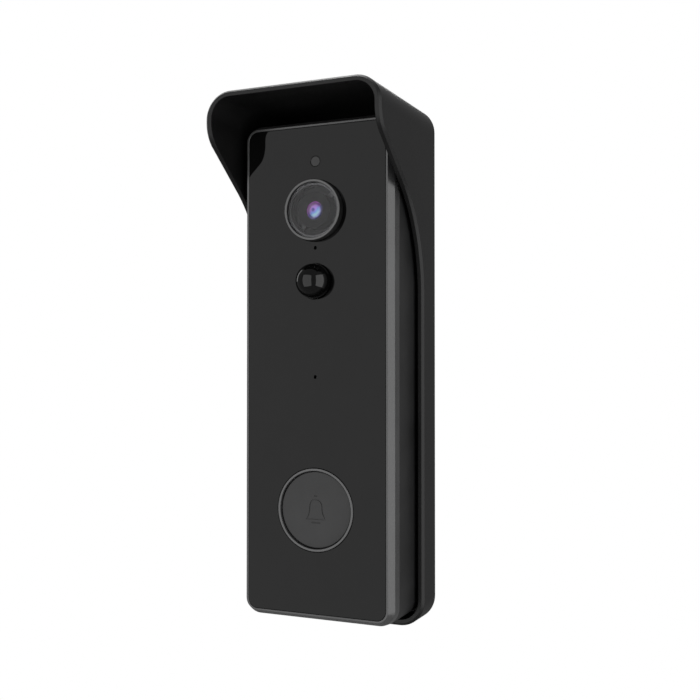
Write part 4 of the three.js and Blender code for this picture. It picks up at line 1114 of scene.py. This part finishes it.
# Each lamp's name, place and target in metres, width, height and radiance.
SOFTBOXES = (
    ("left_softbox", (-0.17, -0.62, 0.0), (-0.02, 0, 0), 0.72, 0.9, 0.96),
    ("right_softbox", (0.6, -0.16, 0.0), (0.02, -0.02, 0), 0.75, 0.9, 1.35),
    ("high_softbox", (-0.5, 0.75, 0.85), (0, 0, 0), 0.9, 0.9, 2.4),
    ("ceiling_softbox", (0.0, 0.75, 1.6), (0, 0.1, 0), 1.6, 1.0, 4.0),
    ("side_softbox", (-0.62, 0.13, 0.27), (0, -0.03, 0.03), 0.25, 0.5, 1.3),
)
STUDIO_PLACE = (0.13309, -0.29835, 0.00118)
STUDIO_AZIMUTH = math.radians(24.22)
STUDIO_PITCH = math.radians(0.87)
STUDIO_LENS = 52.0
STUDIO_SENSOR = 36.0


def pale_floor():
    """A wide disc below the doorbell, which its glossy faces don't reflect."""
    bm = bmesh.new()
    bmesh.ops.create_circle(bm, cap_ends=True, segments=96, radius=FLOOR_RADIUS / MM)
    for vert in bm.verts:
        vert.co.z = FLOOR_Z / MM
    floor = mesh_object("pale_floor", bm)
    g = Graph("pale_floor")
    cloud = g.noise(120.0, detail=2.0)
    g.tint(cloud, PALE, scaled(PALE, 0.97))
    g.roughness(g.remap(cloud, 0.75, 0.85))
    floor.data.materials.append(g.material)
    floor.visible_glossy = False


def white_world():
    """A white room. The camera sees it at one strength, and it lights the doorbell at another."""
    world = bpy.data.worlds.new("white_room")
    bpy.context.scene.world = world
    world.use_nodes = True
    tree = world.node_tree
    lit = tree.nodes["Background"]
    lit.inputs["Color"].default_value = (1, 1, 1, 1)
    lit.inputs["Strength"].default_value = WORLD_LIGHT
    seen = tree.nodes.new("ShaderNodeBackground")
    seen.inputs["Color"].default_value = (1, 1, 1, 1)
    seen.inputs["Strength"].default_value = WORLD_SEEN
    path = tree.nodes.new("ShaderNodeLightPath")
    mix = tree.nodes.new("ShaderNodeMixShader")
    tree.links.new(path.outputs["Is Camera Ray"], mix.inputs["Fac"])
    tree.links.new(lit.outputs["Background"], mix.inputs[1])
    tree.links.new(seen.outputs["Background"], mix.inputs[2])
    tree.links.new(mix.outputs["Shader"], tree.nodes["World Output"].inputs["Surface"])


def softbox(name, place, target, width, height, radiance):
    """A rectangular lamp that shines evenly with this radiance from its whole face."""
    lamp = bpy.data.lights.new(name, "AREA")
    lamp.shape = "RECTANGLE"
    lamp.size = width
    lamp.size_y = height
    lamp.energy = radiance * math.pi * width * height
    holder = bpy.data.objects.new(name, lamp)
    bpy.context.scene.collection.objects.link(holder)
    holder.location = place
    holder.rotation_euler = (Vector(target) - Vector(place)).to_track_quat("-Z", "Y").to_euler()
    holder.visible_camera = False


def studio_camera():
    """The camera stands to the right of the doorbell and looks at it almost level."""
    lens = bpy.data.cameras.new("studio_camera")
    lens.lens = STUDIO_LENS
    lens.sensor_width = STUDIO_SENSOR
    holder = bpy.data.objects.new("studio_camera", lens)
    bpy.context.scene.collection.objects.link(holder)
    holder.location = STUDIO_PLACE
    level = math.cos(STUDIO_PITCH)
    look = Vector((-math.sin(STUDIO_AZIMUTH) * level, math.cos(STUDIO_AZIMUTH) * level,
                   math.sin(STUDIO_PITCH)))
    holder.rotation_euler = look.to_track_quat("-Z", "Y").to_euler()
    bpy.context.scene.camera = holder


pale_floor()
white_world()
for lamp in SOFTBOXES:
    softbox(*lamp)
studio_camera()
bpy.context.scene.view_settings.view_transform = "Standard"
